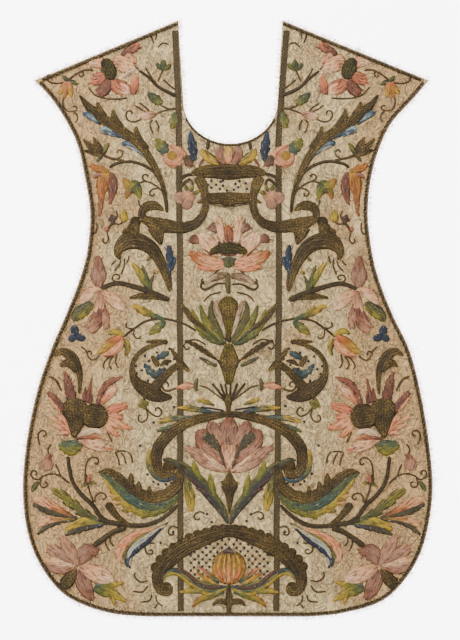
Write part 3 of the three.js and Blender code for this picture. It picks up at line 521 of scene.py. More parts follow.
    "arch": (False, "gold_thread", "arch", """
gold gold,bronze,gold,bronze,gold,bronze,gold teeth=44 bite=.07 : -93,-261,6.8 -103,-267,15.4
    -117,-265,18.8 -125,-249,20.5 -123,-225,21.5 -111,-206,21.5 -93,-190,20.5 -68,-177,18.8
    -38,-169,16.1 -1,-164,10.9 37,-169,16.1 67,-177,18.8 93,-190,20.5 111,-206,21.5 123,-225,21.5
    125,-249,20.5 117,-265,18.8 103,-267,15.4 93,-261,6.8
2silk yellow,leaf,blue : -135,-224,5.1 -138,-239,9.6 -135,-258,10.9 -122,-273,10.3 -105,-277,6.8
    -91,-269,3.4
2dome bronze,gold rise=2.8 metal=1 : -102,-253,12
2cord bronze : -114,-244,4.1 -107,-241,4.1 -98,-242,3.4 -95,-249,3.1
2silk navy,blue,leaf,yellow fringe=26 : -23,-161,3.4 -44,-158,7.9 -67,-154,10.3 -90,-153,3.4
2silk navy,teal,yellow fringe=22 : -61,-169,5.1 -81,-170,8.6 -102,-172,10.9 -124,-178,3.4
2silk navy,lime,yellow fringe=12 : -25,-149,2.7 -37,-144,6.8 -54,-138,3.4
2silk blue,teal,leaf fringe=10 : -85,-184,5.1 -105,-187,8.6 -125,-195,3.4
2cord navy : -9,-158,2.4 -33,-154,2.7 -50,-152,2.1
    """),
    "great_flower": (False, "rose_silk", "great_flower", """
2silk brown,wine,rose,mauve,wine rib=.4 teeth=5 bite=.12 fringe=44 : -4,-253,10.3 -23,-232,29.1
    -37,-215,42.8 -44,-200,35.9 -43,-189,20.5
2silk wine,rose,mauve,wine fringe=22 : -13,-218,13.7 -22,-201,23.9 -28,-187,25.6 -25,-177,12
silk brown,mauve,wine fringe=22 : -1,-218,23.9 -1,-196,34.2 -1,-181,29.1 -1,-168,5.1
silk wine,blush,peach,rose,wine rib=.7 fringe=16 : -1,-263,6.8 -1,-244,20.5 -1,-224,29.1
    -1,-203,23.9 -1,-181,6.8
2silk rose,blush,rose,mauve,rose rib=.4 fringe=26 : -3,-262,6.8 -20,-254,20.5 -40,-243,27.4
    -58,-230,20.5 -77,-220,5.1
2silk peach,blush,peach lift=.8 : -16,-253,3.4 -32,-241,8.6 -45,-231,3.4
2silk brown,moss,bronze,moss lift=1 teeth=7 bite=.45 fringe=40 : -9,-241,2.7 -17,-227,6.8
    -25,-216,22.2 -32,-207,27.4 -42,-201,20.5 -45,-200,10.3
2silk brown,moss lift=1 : -5,-259,2.7 -12,-242,5.1 -19,-224,3.4
    """),
    "arrow_leaf": (False, "gold_thread", "arrow_leaf", """
gold gold,bronze,gold : 0,-336,3.4 0,-316,10.3 0,-301,17.1 0,-287,29.1 0,-273,15.4 0,-261,3.4
2gold bronze,gold : -3,-290,8.6 -9,-283,8.6 -16,-280,3.4
    """),
    "scroll_leaf": (True, "green_silk", "scroll_leaf", """
silk lime,leaf,moss,navy,bronze way=across : -3,-352,5.1 -11,-331,15.4 -29,-307,20.5 -51,-280,22.2
    -77,-257,18.8 -98,-246,12 -114,-242,3.4
silk leaf,lime : -50,-277,8.6 -58,-261,13.7 -62,-243,3.4
silk leaf,lime : -25,-307,8.6 -31,-287,13.7 -34,-265,3.4
silk navy,brown : -40,-295,8.6 -56,-282,10.3 -73,-271,3.4
silk navy,brown : -28,-311,8.6 -43,-296,10.3 -59,-290,3.4
gold bronze,gold,bronze,gold teeth=9 bite=.16 : -81,-249,13.7 -84,-266,18.8 -91,-287,21.5
    -109,-302,23.3 -133,-307,25 -156,-299,22.2 -175,-285,18.8 -192,-270,15.4 -208,-261,10.9
    -225,-264,3.4
gold bronze,gold : -175,-294,18.8 -169,-278,13.7 -169,-264,3.4
gold bronze,gold : -158,-304,18.8 -156,-291,13.7 -155,-278,3.4
gold bronze,gold : -138,-311,17.1 -138,-299,13 -136,-286,3.4
silk moss,leaf,teal,teal,leaf : -223,-264,3.4 -204,-276,13.7 -189,-291,18.8 -170,-307,21.5
    -148,-319,21.5 -122,-321,18.8 -100,-313,13.7 -85,-301,6.8
silk lime,yellow,lime,leaf teeth=6 bite=.2 : -216,-271,3.4 -204,-289,8.6 -193,-303,12 -177,-319,13
    -156,-331,13.7 -133,-334,13 -109,-326,10.3 -90,-313,5.1
silk lime,yellow,peach fringe=6 : -186,-306,12 -196,-305,10.9 -207,-300,3.4
silk lime,yellow,peach : -180,-313,10.3 -191,-316,8.6 -199,-316,2.7
silk lime,yellow,olive : -162,-324,13.7 -175,-327,12 -185,-330,3.4
silk leaf,olive,lime : -134,-330,13.7 -145,-336,12 -152,-343,3.4
silk teal,moss,lime,yellow teeth=3 bite=.2 rib=.4 : -77,-266,5.1 -71,-287,15.4 -67,-309,20.5
    -65,-331,5.1
    """),
    "hem_arch": (False, "gold_thread", "hem_arch", """
gold gold,bronze,gold,bronze,gold,bronze,gold teeth=38 bite=.06 : -100,-456,6.8 -104,-468,13.7
    -117,-466,17.1 -123,-451,20.5 -119,-433,25 -104,-414,29.1 -81,-394,30.8 -44,-376,29.1
    0,-364,22.2 44,-376,29.1 81,-394,30.1 104,-414,29.1 119,-433,25 123,-451,20.5 117,-466,17.1
    104,-468,13.7 100,-456,6.8
2dome bronze,gold rise=2.6 metal=1 : -108,-461,10.3
2silk sky,blue,lime : -117,-442,5.1 -109,-435,6.8 -97,-432,3.4
2dome bronze,gold rise=2.6 metal=1 : -127,-426,8.6
2dome bronze,gold rise=2.6 metal=1 : -119,-413,8.6
2dome bronze,gold rise=2.6 metal=1 : -108,-401,8.6
2dome bronze,gold rise=2.6 metal=1 : -96,-392,8.6
2dome bronze,gold rise=2.6 metal=1 : -82,-384,8.6
2dome bronze,gold rise=2.6 metal=1 : -69,-376,8.6
2dome bronze,gold rise=2.6 metal=1 : -55,-370,8.6
2dome bronze,gold rise=2.6 metal=1 : -40,-366,8.6
2dome bronze,gold rise=2.6 metal=1 : -26,-362,8.6
2dome bronze,gold rise=2.6 metal=1 : -12,-360,8.6
2silk gold,bronze lift=3.2 : -114,-434,1.7 -98,-412,2.1 -74,-393,2.1 -44,-379,2.1 -15,-371,1.7
2silk bronze,gold lift=3.2 : -119,-424,1.7 -102,-403,2.1 -78,-386,2.1 -45,-371,2.1 -15,-362,1.7
    """),
    "fruit": (False, "amber_silk", "fruit", """
dome amber,coral,yellow,amber,olive rise=4 way=up : -1,-426,30.8
silk orange,coral,yellow lift=2.8 : -13,-448,4.1 -19,-425,6.8 -13,-405,3.4
silk peach,coral,yellow lift=3.4 : -1,-452,5.1 -1,-425,8.6 -1,-401,3.4
silk orange,coral,yellow lift=2.8 : 12,-448,4.1 18,-425,6.8 12,-405,3.4
silk rose,peach,yellow lift=3.2 : -7,-451,2.7 -9,-425,4.1 -7,-405,2.4
silk rose,peach,yellow lift=3.2 : 6,-451,2.7 8,-425,4.1 6,-405,2.4
silk mauve,navy,mauve lift=2.4 : -13,-401,3.4 -1,-397,8.6 12,-401,3.4
2silk teal,leaf,coral : -18,-452,6.8 -32,-441,9.6 -52,-425,3.4
2silk teal,yellow,orange : -21,-455,6.8 -38,-447,8.6 -57,-434,3.4
2silk teal,lime : -27,-458,5.1 -44,-453,6.8 -59,-444,3.4
2silk navy,teal : -3,-459,5.1 -21,-462,8.6 -38,-458,3.4
    """),
    "finial": (False, "gold_thread", "finial", """
gold bronze,gold : -1,-455,5.1 -1,-472,10.9 -1,-485,13.7 -1,-495,9.2 -1,-505,8.6
2gold bronze,gold : -2,-489,8.6 -12,-484,10.9 -22,-485,8.6 -29,-492,3.4
    """),
    "s_leaf": (True, "green_silk", "s_leaf", """
silk navy,navy,teal,lime,yellow way=across : -3,-459,5.1 -20,-466,12 -40,-466,17.1 -59,-456,17.1
    -77,-441,15.4 -94,-433,13.7 -109,-439,10.3 -115,-449,4.1
silk brown,bronze,brown lift=.6 : -13,-459,5.1 -35,-461,8.6 -56,-451,9.2 -74,-436,7.5 -91,-429,3.4
silk teal,lime,yellow teeth=2 bite=.3 : -45,-468,6.8 -68,-466,12 -86,-469,3.4
silk teal,leaf,lime,amber : -9,-468,5.1 -33,-476,10.3 -52,-482,10.9 -64,-495,3.4
    """),
    "corner_vines": (True, "gold_thread", None, """
cord vine : -273,-283,2.4 -288,-271,2.4 -304,-266,2.4 -319,-270,2.4 -327,-276,2.4 -335,-274,2.4
    -340,-268,2.4 -337,-261,2.4 -331,-262,2.4 -330,-267,2.1 -334,-268,1.7
cord vine : -321,-272,2.1 -324,-282,2.1 -321,-289,2.1 -313,-288,2.1 -312,-282,2.1 -317,-280,1.7
silk moss,leaf : -326,-279,4.1 -333,-287,9.6 -339,-297,3.4
cord vine : -232,-316,3.1 -240,-294,2.7 -243,-280,2.7 -245,-266,2.4
silk wine,coral : -242,-282,5.1 -240,-273,7.9 -238,-266,3.4
silk moss,lime : -242,-283,4.1 -248,-284,6.2 -254,-289,2.7
silk moss,lime : -241,-283,4.1 -234,-281,6.2 -227,-282,2.7
cord vine : -229,-316,2.1 -230,-306,2.1 -223,-299,2.1 -215,-300,2.1 -211,-305,2.1 -215,-310,2.1
    -219,-307,1.7
cord vine : -211,-376,2.4 -212,-386,2.4 -205,-399,2.1
cord vine : -203,-372,2.1 -204,-382,2.1 -198,-390,1.7
cord vine : -139,-449,2.4 -152,-451,2.4 -162,-443,2.4 -161,-434,2.1
cord vine : -139,-457,2.4 -149,-468,2.4 -166,-467,2.1
cord vine : -133,-472,2.4 -137,-483,2.4 -153,-486,2.1
cord vine : -126,-473,2.4 -124,-485,2.4 -114,-493,2.1
cord vine : -123,-488,2.1 -126,-494,2.1 -129,-497,1.7
cord vine : -148,-394,2.1 -142,-388,2.1 -136,-385,2.1 -127,-385,1.7
cord vine : -144,-390,2.1 -143,-399,2.1 -137,-404,2.1 -131,-401,2.1 -134,-396,2.1 -138,-398,1.7
cord vine : -42,-335,2.4 -50,-331,2.4 -59,-335,2.4 -60,-342,2.4 -54,-345,2.1 -50,-341,1.7
cord vine : -88,-359,2.1 -98,-356,2.1 -104,-362,2.1 -103,-370,2.1 -96,-370,2.1 -96,-365,1.7
cord vine : -57,-393,2.1 -68,-403,2.1 -78,-407,1.7
cord bronze : -88,-319,4.4 -100,-331,5.5 -119,-345,6.2 -144,-354,6.8 -174,-354,6.8 -201,-350,7.5
    -227,-345,6.2
    """),
    "side_spray": (True, "green_silk", "side_spray", """
silk teal,moss,leaf,olive,lime teeth=4 bite=.5 rib=.4 : -211,-349,5.1 -239,-339,17.1 -262,-324,23.9
    -281,-307,22.2 -297,-296,15.4 -304,-294,6.8
silk lime,yellow lift=.6 : -225,-343,2.1 -256,-328,2.7 -290,-301,1.7
silk moss,orange,peach fringe=10 : -266,-341,6.8 -292,-329,15.4 -314,-317,20.5 -334,-308,12
silk bronze,moss,bronze teeth=6 bite=.34 fringe=10 : -259,-343,6.8 -293,-335,15.4 -315,-327,17.1
    -337,-317,4.1
silk lime,amber,peach fringe=10 : -262,-343,5.1 -290,-345,12 -310,-348,15.4 -329,-354,8.6
silk moss,bronze,moss teeth=6 bite=.34 fringe=10 : -259,-344,5.1 -290,-348,10.3 -310,-355,13
    -330,-370,3.4
silk teal,lime,yellow rib=.3 : -208,-351,5.1 -232,-348,15.4 -256,-350,18.8 -281,-362,8.6
silk blue,bronze,moss teeth=6 bite=.34 fringe=10 : -215,-354,6.8 -239,-356,15.4 -261,-362,17.1
    -282,-372,3.4
gold gold,bronze : -170,-354,5.1 -189,-342,10.3 -202,-327,13.7 -209,-315,14.7
cord bronze : -177,-358,8.6 -195,-364,7.9 -211,-374,7.9 -233,-390,8.6
    """),
    "feather_leaf": (True, "blue_silk", "feather_leaf", """
silk orange,peach,coral,peach fringe=14 : -126,-359,3.4 -153,-367,10.3 -175,-381,17.1 -188,-400,15.4
    -186,-420,3.4
silk moss,lime,moss : -109,-351,3.4 -138,-367,5.1 -165,-384,5.8 -179,-405,5.8 -175,-427,2.7
silk lime,lining,sky,lining rib=.3 : -107,-352,3.4 -133,-368,12 -155,-384,17.1 -170,-405,13.7
    -171,-427,3.4
silk navy,navy : -105,-349,2.7 -122,-364,6.8 -138,-379,11.3 -147,-392,2.7
silk navy,navy : -126,-367,2.7 -142,-383,9.6 -152,-390,10.3 -160,-404,2.7
silk navy,navy : -141,-381,2.7 -155,-392,9.6 -164,-400,10.3 -171,-413,2.7
silk navy,blue : -155,-393,2.7 -167,-405,7.9 -174,-417,8.2 -169,-429,2.7
    """),
    "lower_peony": (True, "rose_silk", "lower_peony", """
silk mauve,rose,rose rib=.5 teeth=4 bite=.14 fringe=24 : -260,-424,8.6 -272,-400,25.6 -283,-382,17.1
    -289,-372,4.1
silk wine,mauve,wine rib=.4 fringe=24 : -257,-422,8.6 -249,-405,30.8 -236,-398,25.6 -225,-404,10.3
silk wine,mauve,rose rib=.4 fringe=24 : -264,-422,6.8 -281,-411,22.2 -300,-399,23.9 -314,-394,8.6
silk rose,blush,peach fringe=24 : -262,-425,6.8 -285,-419,15.4 -302,-416,17.1 -317,-413,5.1
silk wine,rose,mauve fringe=24 : -264,-427,6.8 -286,-430,17.1 -304,-426,17.1 -314,-420,5.1
silk rose,peach,blush rib=.6 fringe=24 : -256,-425,10.3 -235,-434,30.8 -215,-443,30.8 -198,-449,12
silk wine,mauve,wine rib=.6 fringe=24 : -259,-430,8.6 -252,-449,27.4 -243,-468,23.9 -233,-483,6.8
silk brown,wine lift=.6 : -257,-434,2.4 -249,-454,3.4 -239,-477,2.1
silk brown,wine lift=.6 : -262,-424,2.1 -274,-405,2.7 -286,-381,1.7
silk brown,wine lift=.6 : -266,-424,2.1 -286,-415,3.1 -309,-413,1.7
goldheart gold,bronze teeth=3 bite=.12 : -262,-429,6.8 -271,-442,20.5 -280,-453,23.9 -289,-460,18.8
silk teal,leaf,lime,yellow rib=.4 : -232,-460,15.4 -215,-464,25.6 -198,-472,17.1 -177,-485,4.1
silk leaf,lime,yellow : -218,-458,10.3 -201,-456,12 -180,-452,3.4
silk leaf,yellow : -208,-468,10.3 -201,-478,10.3 -196,-492,3.4
    """),
}


def spline(points, step):
    """Smooth curve through the points, resampled about every `step`, with any further columns."""
    rows = np.asarray(points, float)
    rows = np.vstack([rows[0], rows, rows[-1]])
    t = np.linspace(0, 1, ROUTE_STEPS + 1)[:-1, None]
    parts = []
    for a, b, c, d in zip(rows, rows[1:], rows[2:], rows[3:]):
        parts.append(
            0.5 * (2 * b + (c - a) * t + (2 * a - 5 * b + 4 * c - d) * t**2
                   + (3 * b - a - 3 * c + d) * t**3)
        )
    dense = np.vstack(parts + [rows[-1:]])
    return resample(dense, step)


def resample(dense, step):
    """The same line with its points spaced evenly, about `step` apart in x and y."""
    run = np.concatenate([[0], np.cumsum(np.hypot(*np.diff(dense[:, :2], axis=0).T))])
    count = max(3, int(math.ceil(run[-1] / step)) + 1)
    at = np.linspace(0, run[-1], count)
    return np.column_stack([np.interp(at, run, column) for column in dense.T])


def run_length(line):
    """Distance along a line at each of its points."""
    return np.concatenate([[0], np.cumsum(np.hypot(*np.diff(line[:, :2], axis=0).T))])


def across_of(line):
    """Unit vectors to the left of a line at each of its points."""
    along = np.gradient(line[:, :2], axis=0)
    along /= np.maximum(np.hypot(*along.T), 1e-9)[:, None]
    return np.column_stack([-along[:, 1], along[:, 0]])


def smooth_noise(x, y, cell, seed):
    """Smooth random heights from -1 to 1 on a lattice of `cell` millimetres."""
    lattice = np.random.RandomState(seed).uniform(-1, 1, (LATTICE + 1, LATTICE + 1))
    u, v = np.asarray(x) / cell + LATTICE_SHIFT, np.asarray(y) / cell + LATTICE_SHIFT
    i, j = np.floor(u).astype(int), np.floor(v).astype(int)
    u, v = u - i, v - j
    u, v = u * u * (3 - 2 * u), v * v * (3 - 2 * v)
    i, j = i % LATTICE, j % LATTICE
    low = lattice[i, j] * (1 - u) + lattice[i + 1, j] * u
    high = lattice[i, j + 1] * (1 - u) + lattice[i + 1, j + 1] * u
    return low * (1 - v) + high * v


def swell(x, y):
    """How far the front panel lies above the back panel."""
    half_x, half_y = SWELL_HALF
    fade = np.maximum(0, 1 - (x / half_x) ** 2) * np.maximum(0, 1 - (y / half_y) ** 2)
    wave = (0.5 + 0.3 * np.sin(2 * math.pi * (y + 0.4 * x) / SWELL_LENGTH)
            + 0.2 * np.cos(2 * math.pi * (x - 0.3 * y) / SWELL_WIDTH))
    return SWELL * fade * wave


def creased(x, y, table):
    """Soft ridges with a shallow trough on each side, from a table of creases."""
    height = np.zeros_like(x, dtype=float)
    for x1, y1, x2, y2, bow, depth, half in table:
        length = math.hypot(x2 - x1, y2 - y1)
        ux, uy = (x2 - x1) / length, (y2 - y1) / length
        s = ((x - x1) * ux + (y - y1) * uy) / length
        near = np.clip(s, -CREASE_OVERRUN, 1 + CREASE_OVERRUN)
        d = (y - y1) * ux - (x - x1) * uy - bow * 4 * near * (1 - near)
        to_end = np.minimum(s + CREASE_OVERRUN, 1 + CREASE_OVERRUN - s)
        fade = np.clip(to_end / CREASE_FADE, 0, 1)
        fade = fade * fade * (3 - 2 * fade)
        trough = np.exp(-(((np.abs(d) - 2 * half) / half) ** 2))
        height += depth * fade * (np.exp(-((d / half) ** 2)) - CREASE_TROUGH * trough)
    return height


def wrinkles(x, y):
    """Fine puckers that run together in a net, as stiff old silk lies."""
    wx = x + 7 * smooth_noise(x, y, 31, 11)
    wy = y + 7 * smooth_noise(x, y, 29, 12)
    coarse = 1 - np.abs(smooth_noise(wx, wy, PUCKER_CELL, 13)) * 2.4
    fine = 1 - np.abs(smooth_noise(wx * 1.15, wy, PUCKER_CELL * 0.55, 14)) * 2.6
    strength = 0.6 + 0.4 * smooth_noise(x, y, 95, 15)
    coarse, fine = np.clip(coarse, 0, 1) ** 1.6, np.clip(fine, 0, 1) ** 1.6
    return PUCKER * strength * (0.62 * coarse + 0.38 * fine)


def cloth(x, y):
    """Height of the front panel's face."""
    x, y = np.asarray(x, float), np.asarray(y, float)
    folds = creased(x, y, CREASES) + wrinkles(x, y)
    return FRONT_TOP + swell(x, y) + np.maximum(folds, -FRONT_DIP)


def back_cloth(x, y):
    """Height of the back panel's upper face, under the front one."""
    x, y = np.asarray(x, float), np.asarray(y, float)
    return BACK_THICK + np.clip(creased(x, y, BACK_CREASES), -BACK_DIP, BACK_LIFT)


def side_line(right):
    """A side edge from its shoulder point down to the hem."""
    return spline([(row[2] if right else row[1], row[0]) for row in SIDES], EDGE_STEP)


def neck_curve():
    """The round of the neck, from the left band to the right one."""
    turn = np.linspace(math.pi, 2 * math.pi, 90)
    return np.column_stack([
        NECK_MIDDLE + NECK_HALF * np.cos(turn), NECK_CURVE_Y + NECK_CURVE_DEPTH * np.sin(turn),
    ])


def edge_lines():
    """The stretches of the edge, each run clockwise round the panel."""
    left, right = NECK_POINTS
    side_left, side_right = side_line(False), side_line(True)
    return {
        "neck": np.vstack([left, neck_curve(), right]),
        "shoulder_right": resample(np.array([right, side_right[0]]), EDGE_STEP),
        "side_right": side_right,
        "hem": resample(np.array([side_right[-1], side_left[-1]]), EDGE_STEP),
        "side_left": side_left[::-1],
        "shoulder_left": resample(np.array([side_left[0], left]), EDGE_STEP),
    }


def outline(step):
    """The whole cut as one ring of points."""
    ring = []
    for line in edge_lines().values():
        ring.extend(resample(line, step)[:-1])
    return np.array(ring)


def inside(x, y, ring):
    """True where a point is inside the ring."""
    hit = np.zeros(len(x), bool)
    for (x1, y1), (x2, y2) in zip(ring, np.roll(ring, -1, axis=0)):
        if y1 == y2:
            continue
        crosses = (y1 > y) != (y2 > y)
        hit ^= crosses & (x < (x2 - x1) * (y - y1) / (y2 - y1) + x1)
    return hit


def gap_to(x, y, ring):
    """Distance from each point to the nearest point of the ring."""
    best = np.full(len(x), 1e9)
    for px, py in ring:
        np.minimum(best, np.hypot(x - px, y - py), out=best)
    return best


def sheet_mesh(name, step, edge_step, height):
    """The cut as an evenly meshed sheet at the given height."""
    ring = outline(edge_step)
    rng = np.random.RandomState(5)
    xs, ys = np.meshgrid(np.arange(SHEET_FROM, SHEET_TO, step), np.arange(HEM, TOP, step))
    xs = xs.ravel() + rng.uniform(-SHEET_JITTER, SHEET_JITTER, xs.size) * step
    ys = ys.ravel() + rng.uniform(-SHEET_JITTER, SHEET_JITTER, ys.size) * step
    keep = inside(xs, ys, ring) & (gap_to(xs, ys, ring) > SHEET_CLEAR * step)
    points = np.vstack([ring, np.column_stack([xs[keep], ys[keep]])])
    flat, _, faces, *_ = geometry.delaunay_2d_cdt(
        [Vector(p) for p in points], [], [list(range(len(ring)))], 1, 1e-6
    )
    flat = np.array(flat)
    z = height(flat[:, 0], flat[:, 1])
    mesh = bpy.data.meshes.new(name)
    mesh.from_pydata((np.column_stack([flat, z]) * MM).tolist(), [], faces)
    body = bmesh.new()
    body.from_mesh(mesh)
    bmesh.ops.recalc_face_normals(body, faces=body.faces)
    if sum(f.normal.z for f in body.faces) < 0:
        bmesh.ops.reverse_faces(body, faces=body.faces)
    body.to_mesh(mesh)
    body.free()
    return mesh


def tube_faces(sections, sides, first=0):
    """Quads round a tube, each starting at its corner number `first`, and a face on each end."""
    faces = []
    for low in range(0, (sections - 1) * sides, sides):
        for j in range(sides):
            k = (j + 1) % sides
            quad = (low + j, low + k, low + sides + k, low + sides + j)
            faces.append(quad[first:] + quad[:first])
    last = (sections - 1) * sides
    return faces + [tuple(reversed(range(sides))), tuple(range(last, last + sides))]


def rounded(share):
    """Width near a round end, from 1 where it starts to almost 0 at its tip."""
    return np.sqrt(np.clip(1 - share.clip(0, 1) ** 2, 0.02, 1))


def saw(phase):
    """Rises from 0 to 1 along each tooth."""
    return np.abs(phase - np.floor(phase)) ** 0.8


def select_only(piece):
    """Makes one piece the only one selected, and active."""
    bpy.ops.object.select_all(action="DESELECT")
    piece.select_set(True)
    bpy.context.view_layer.objects.active = piece


def show(name, mesh, material, slot, *nodes):
    """Links a finished mesh as a piece that stands for the named nodes."""
    piece = bpy.data.objects.new(name, mesh)
    bpy.context.scene.collection.objects.link(piece)
    mesh.materials.append(material)
    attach(piece, "root")
    if nodes:
        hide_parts(*nodes)
    return piece


def linear(colour):
    """A picked colour as the renderer's linear one."""
    return tuple(c / 12.92 if c <= 0.04045 else ((c + 0.055) / 1.055) ** 2.4 for c in colour[:3])


class Threadwork:
    """Stitched shapes gathered into one mesh, with colours and thread direction on its points."""

    def __init__(self, dyes, side=1):
        self.dyes = dyes
        self.side = side
        self.points, self.faces = [], []
        self.tint, self.fleck, self.thread = [], [], []
        self.count = 0
        self.seed = 0

    def add(self, points, faces, tint, fleck, thread):
        """Adds points, their faces and the values on the points."""
        points = np.asarray(points, float).reshape(-1, 3)
        if self.side < 0:
            faces = [tuple(reversed(f)) for f in faces]
        base = self.count
        self.points.append(points)
        self.faces.extend(tuple(base + i for i in f) for f in faces)
        self.tint.append(np.asarray(tint, float).reshape(-1, 3))
        self.fleck.append(np.asarray(fleck, float).reshape(-1, 3))
        self.thread.append(np.asarray(thread, float).reshape(-1, 3))
        self.count += len(points)

    def mirrored(self, x, y):
        """The pair on the right is the same work turned over, a little astray."""
        if self.side > 0:
            return x, y
        astray = [reach * smooth_noise(x, y, cell, seed) for reach, cell, seed in STRAY]
        return -x - MIRROR_SHIFT + astray[0], y + astray[1]

    def blend(self, names, t):
        """Colours along a run of dyes, t from 0 to 1."""
        stops = np.array([self.dyes[n] for n in names])
        at = np.clip(t, 0, 1) * (len(stops) - 1)
        return np.stack([np.interp(at, range(len(stops)), stops[:, k]) for k in range(3)], -1)

    def leaf(self, route, dyes, rise, way="along", metal=0.0, rib=0.0, teeth=0, bite=0.0,
             lift=0.0, slant=0.0, across=7, rim=False, step=STITCH_STEP, fringe=0):
        """A padded leaf, petal or scroll along a route of x, y, width."""
        line = spline(route, step)
        self.seed += 1
        n = len(line)
        run = run_length(line)
        share = run / run[-1]
        end = max(0.5 * line[-1, 2], 0.8)
        start = end * 0.6
        width = line[:, 2] * rounded((run - run[-1] + end) / end) * rounded((start - run) / start)
        left, right = width / 2, width / 2
        if teeth:
            left = left * (1 - bite * (1 - saw(share * teeth)))
            right = right * (1 - bite * (1 - saw(share * teeth + 0.45)))
        u = np.linspace(-1, 1, across)
        u = np.sign(u) * np.abs(u) ** 0.8
        half = np.where(u[None, :] > 0, left[:, None], right[:, None])
        side = across_of(line)
        x = line[:, 0, None] + side[:, 0, None] * u * half
        y = line[:, 1, None] + side[:, 1, None] * u * half
        profile = np.clip(1 - np.abs(u) ** 2.6, 0, 1) ** 0.55
        if rim:
            profile = profile * 0.86 + 0.2 * np.exp(-(((np.abs(u) - 0.86) / 0.12) ** 2))
            profile[[0, -1]] = 0
        height = np.minimum(rise, 0.2 + 0.34 * width)[:, None] * profile[None, :]
        groove = rib * np.exp(-((u[None, :] / 0.16) ** 2))
        height = height - groove * np.clip(width / 8, 0, 1)[:, None]
        x, y = self.mirrored(x, y)
        z = cloth(x, y) + np.maximum(height, 0) + lift - SINK * (np.abs(u) > 0.999)
        runs = {"along": share[:, None], "across": (u[None, :] + 1) / 2, "edge": np.abs(u)[None, :]}
        t = np.broadcast_to(runs[way], (n, across))
        a = u[None, :] * half + PATTERN_STEP[0] * self.seed
        b = run[:, None] + slant * np.abs(u[None, :] * half) + PATTERN_STEP[1] * self.seed
        names = dyes.split()
        if rim:
            edge = ((np.abs(u)[None, :] > 0.8) * np.ones((n, 1)))[..., None]
            tint = self.blend(names, t) * (1 - edge) + np.array(self.dyes["cordgold"]) * edge
        else:
            # Painted shade: each stitched shape darkens towards its edges, where it meets the
            # cloth.
            shaded = 1 - 0.5 * np.clip((np.abs(u) - 0.7) / 0.3, 0, 1)
            tint = self.blend(names, t) * shaded[None, :, None]
        thread = np.stack(np.broadcast_arrays(a, b, float(metal)), -1)
        self.add(np.stack([x, y, z], -1), tube_faces(n, across, 1), tint,
                 self.blend(names, t + 0.3), thread)
        if fringe:
            self.fringe(line, left, right, fringe, names, lift)

    def fringe(self, line, left, right, count, names, lift):
        """Long stitches that run out past the edges of a petal."""
        rng = np.random.RandomState(self.seed * 7 + count)
        side = across_of(line)
        along = np.column_stack([side[:, 1], -side[:, 0]])
        pick = (rng.uniform(0.22, 0.97, count) * (len(line) - 1)).astype(int)
        way = rng.choice([-1, 1], count)
        half = np.where(way > 0, left[pick], right[pick])
        lean = rng.uniform(0.25, 0.7, count) * way
        length = rng.uniform(0.5, 1.0, count) * np.clip(half * 1.3, 2.5, 9)
        root = line[pick, :2] + side[pick] * (half * rng.uniform(0.45, 0.8, count) * way)[:, None]
        heading = along[pick] + side[pick] * lean[:, None]
        heading /= np.hypot(*heading.T)[:, None]
        flank = np.column_stack([-heading[:, 1], heading[:, 0]])
        flank = flank * rng.uniform(0.7, 1.2, count)[:, None]
        tip = root + heading * (length + 2.5)[:, None]
        corners = np.stack([root - flank, root + flank, tip, root + heading * 1.5], 1)
        x, y = self.mirrored(corners[..., 0], corners[..., 1])
        z = cloth(x, y) + np.array([0.3, 0.3, 0.05, 1.0]) * 1.25 + lift
        faces = [tuple(4 * k + i for i in face) for k in range(count) for face in STITCH_FACES]
        share = pick / (len(line) - 1) + rng.uniform(-0.35, 0.35, count)
        t = np.broadcast_to(share[:, None], (count, 4))
        tone = self.blend(names, t) * rng.uniform(0.7, 1.1, count)[:, None, None]
        thread = np.stack(np.broadcast_arrays(
            np.arange(count)[:, None] * 3.0, np.array([0.0, 0.0, 8.0, 2.0]), 0.0), -1)
        self.add(np.stack([x, y, z], -1), faces, tone, tone, thread)

    def dome(self, x, y, radius, dyes, rise, metal=0.0, lobes=0, notch=0.0, rings=5, sides=20,
             lift=0.0, way="out"):
        """A round pad, plain or lobed."""
        self.seed += 1
        angle = np.linspace(0, 2 * math.pi, sides, endpoint=False)
        out = np.linspace(1, 0, rings + 1)[:-1] ** 0.8
        reach = radius
        if lobes:
            reach = radius * (1 - notch * (0.5 + 0.5 * np.cos(lobes * angle + 2)) ** 2)
        px = x + np.outer(out, reach * np.cos(angle))
        py = y + np.outer(out, reach * np.sin(angle))
        height = rise * np.clip(1 - out**2.4, 0, 1) ** 0.6
        px, py = self.mirrored(px, py)
        cx, cy = self.mirrored(np.array([float(x)]), np.array([float(y)]))
        z = cloth(px, py) + height[:, None] + lift
        z[0] -= SINK
        points = np.vstack([np.stack([px, py, z], -1).reshape(-1, 3),
                            np.column_stack([cx, cy, cloth(cx, cy) + rise + lift]),
                            np.column_stack([cx, cy, cloth(cx, cy) - SINK])])
        faces = tube_faces(rings, sides)[:-2]
        inner, top = (rings - 1) * sides, rings * sides
        for i in range(sides):
            j = (i + 1) % sides
            faces += [(inner + i, inner + j, top), (j, i, top + 1)]
        if way == "out":
            t, middle = np.repeat(1 - out, sides), 1
        else:
            t, middle = (0.5 + 0.5 * np.outer(out, np.sin(angle))).ravel(), 0.5
        t = np.concatenate([t, [middle, 0]])
        a = np.concatenate([np.tile(angle * radius, rings), [0, 0]]) + PATTERN_STEP[0] * self.seed
        b = np.concatenate([np.repeat(out * radius, sides), [0, radius]])
        b = b + PATTERN_STEP[1] * self.seed
        names = dyes.split()
        self.add(points, faces, self.blend(names, t), self.blend(names, t + 0.3),
                 np.column_stack([a, b, np.full(len(a), metal)]))

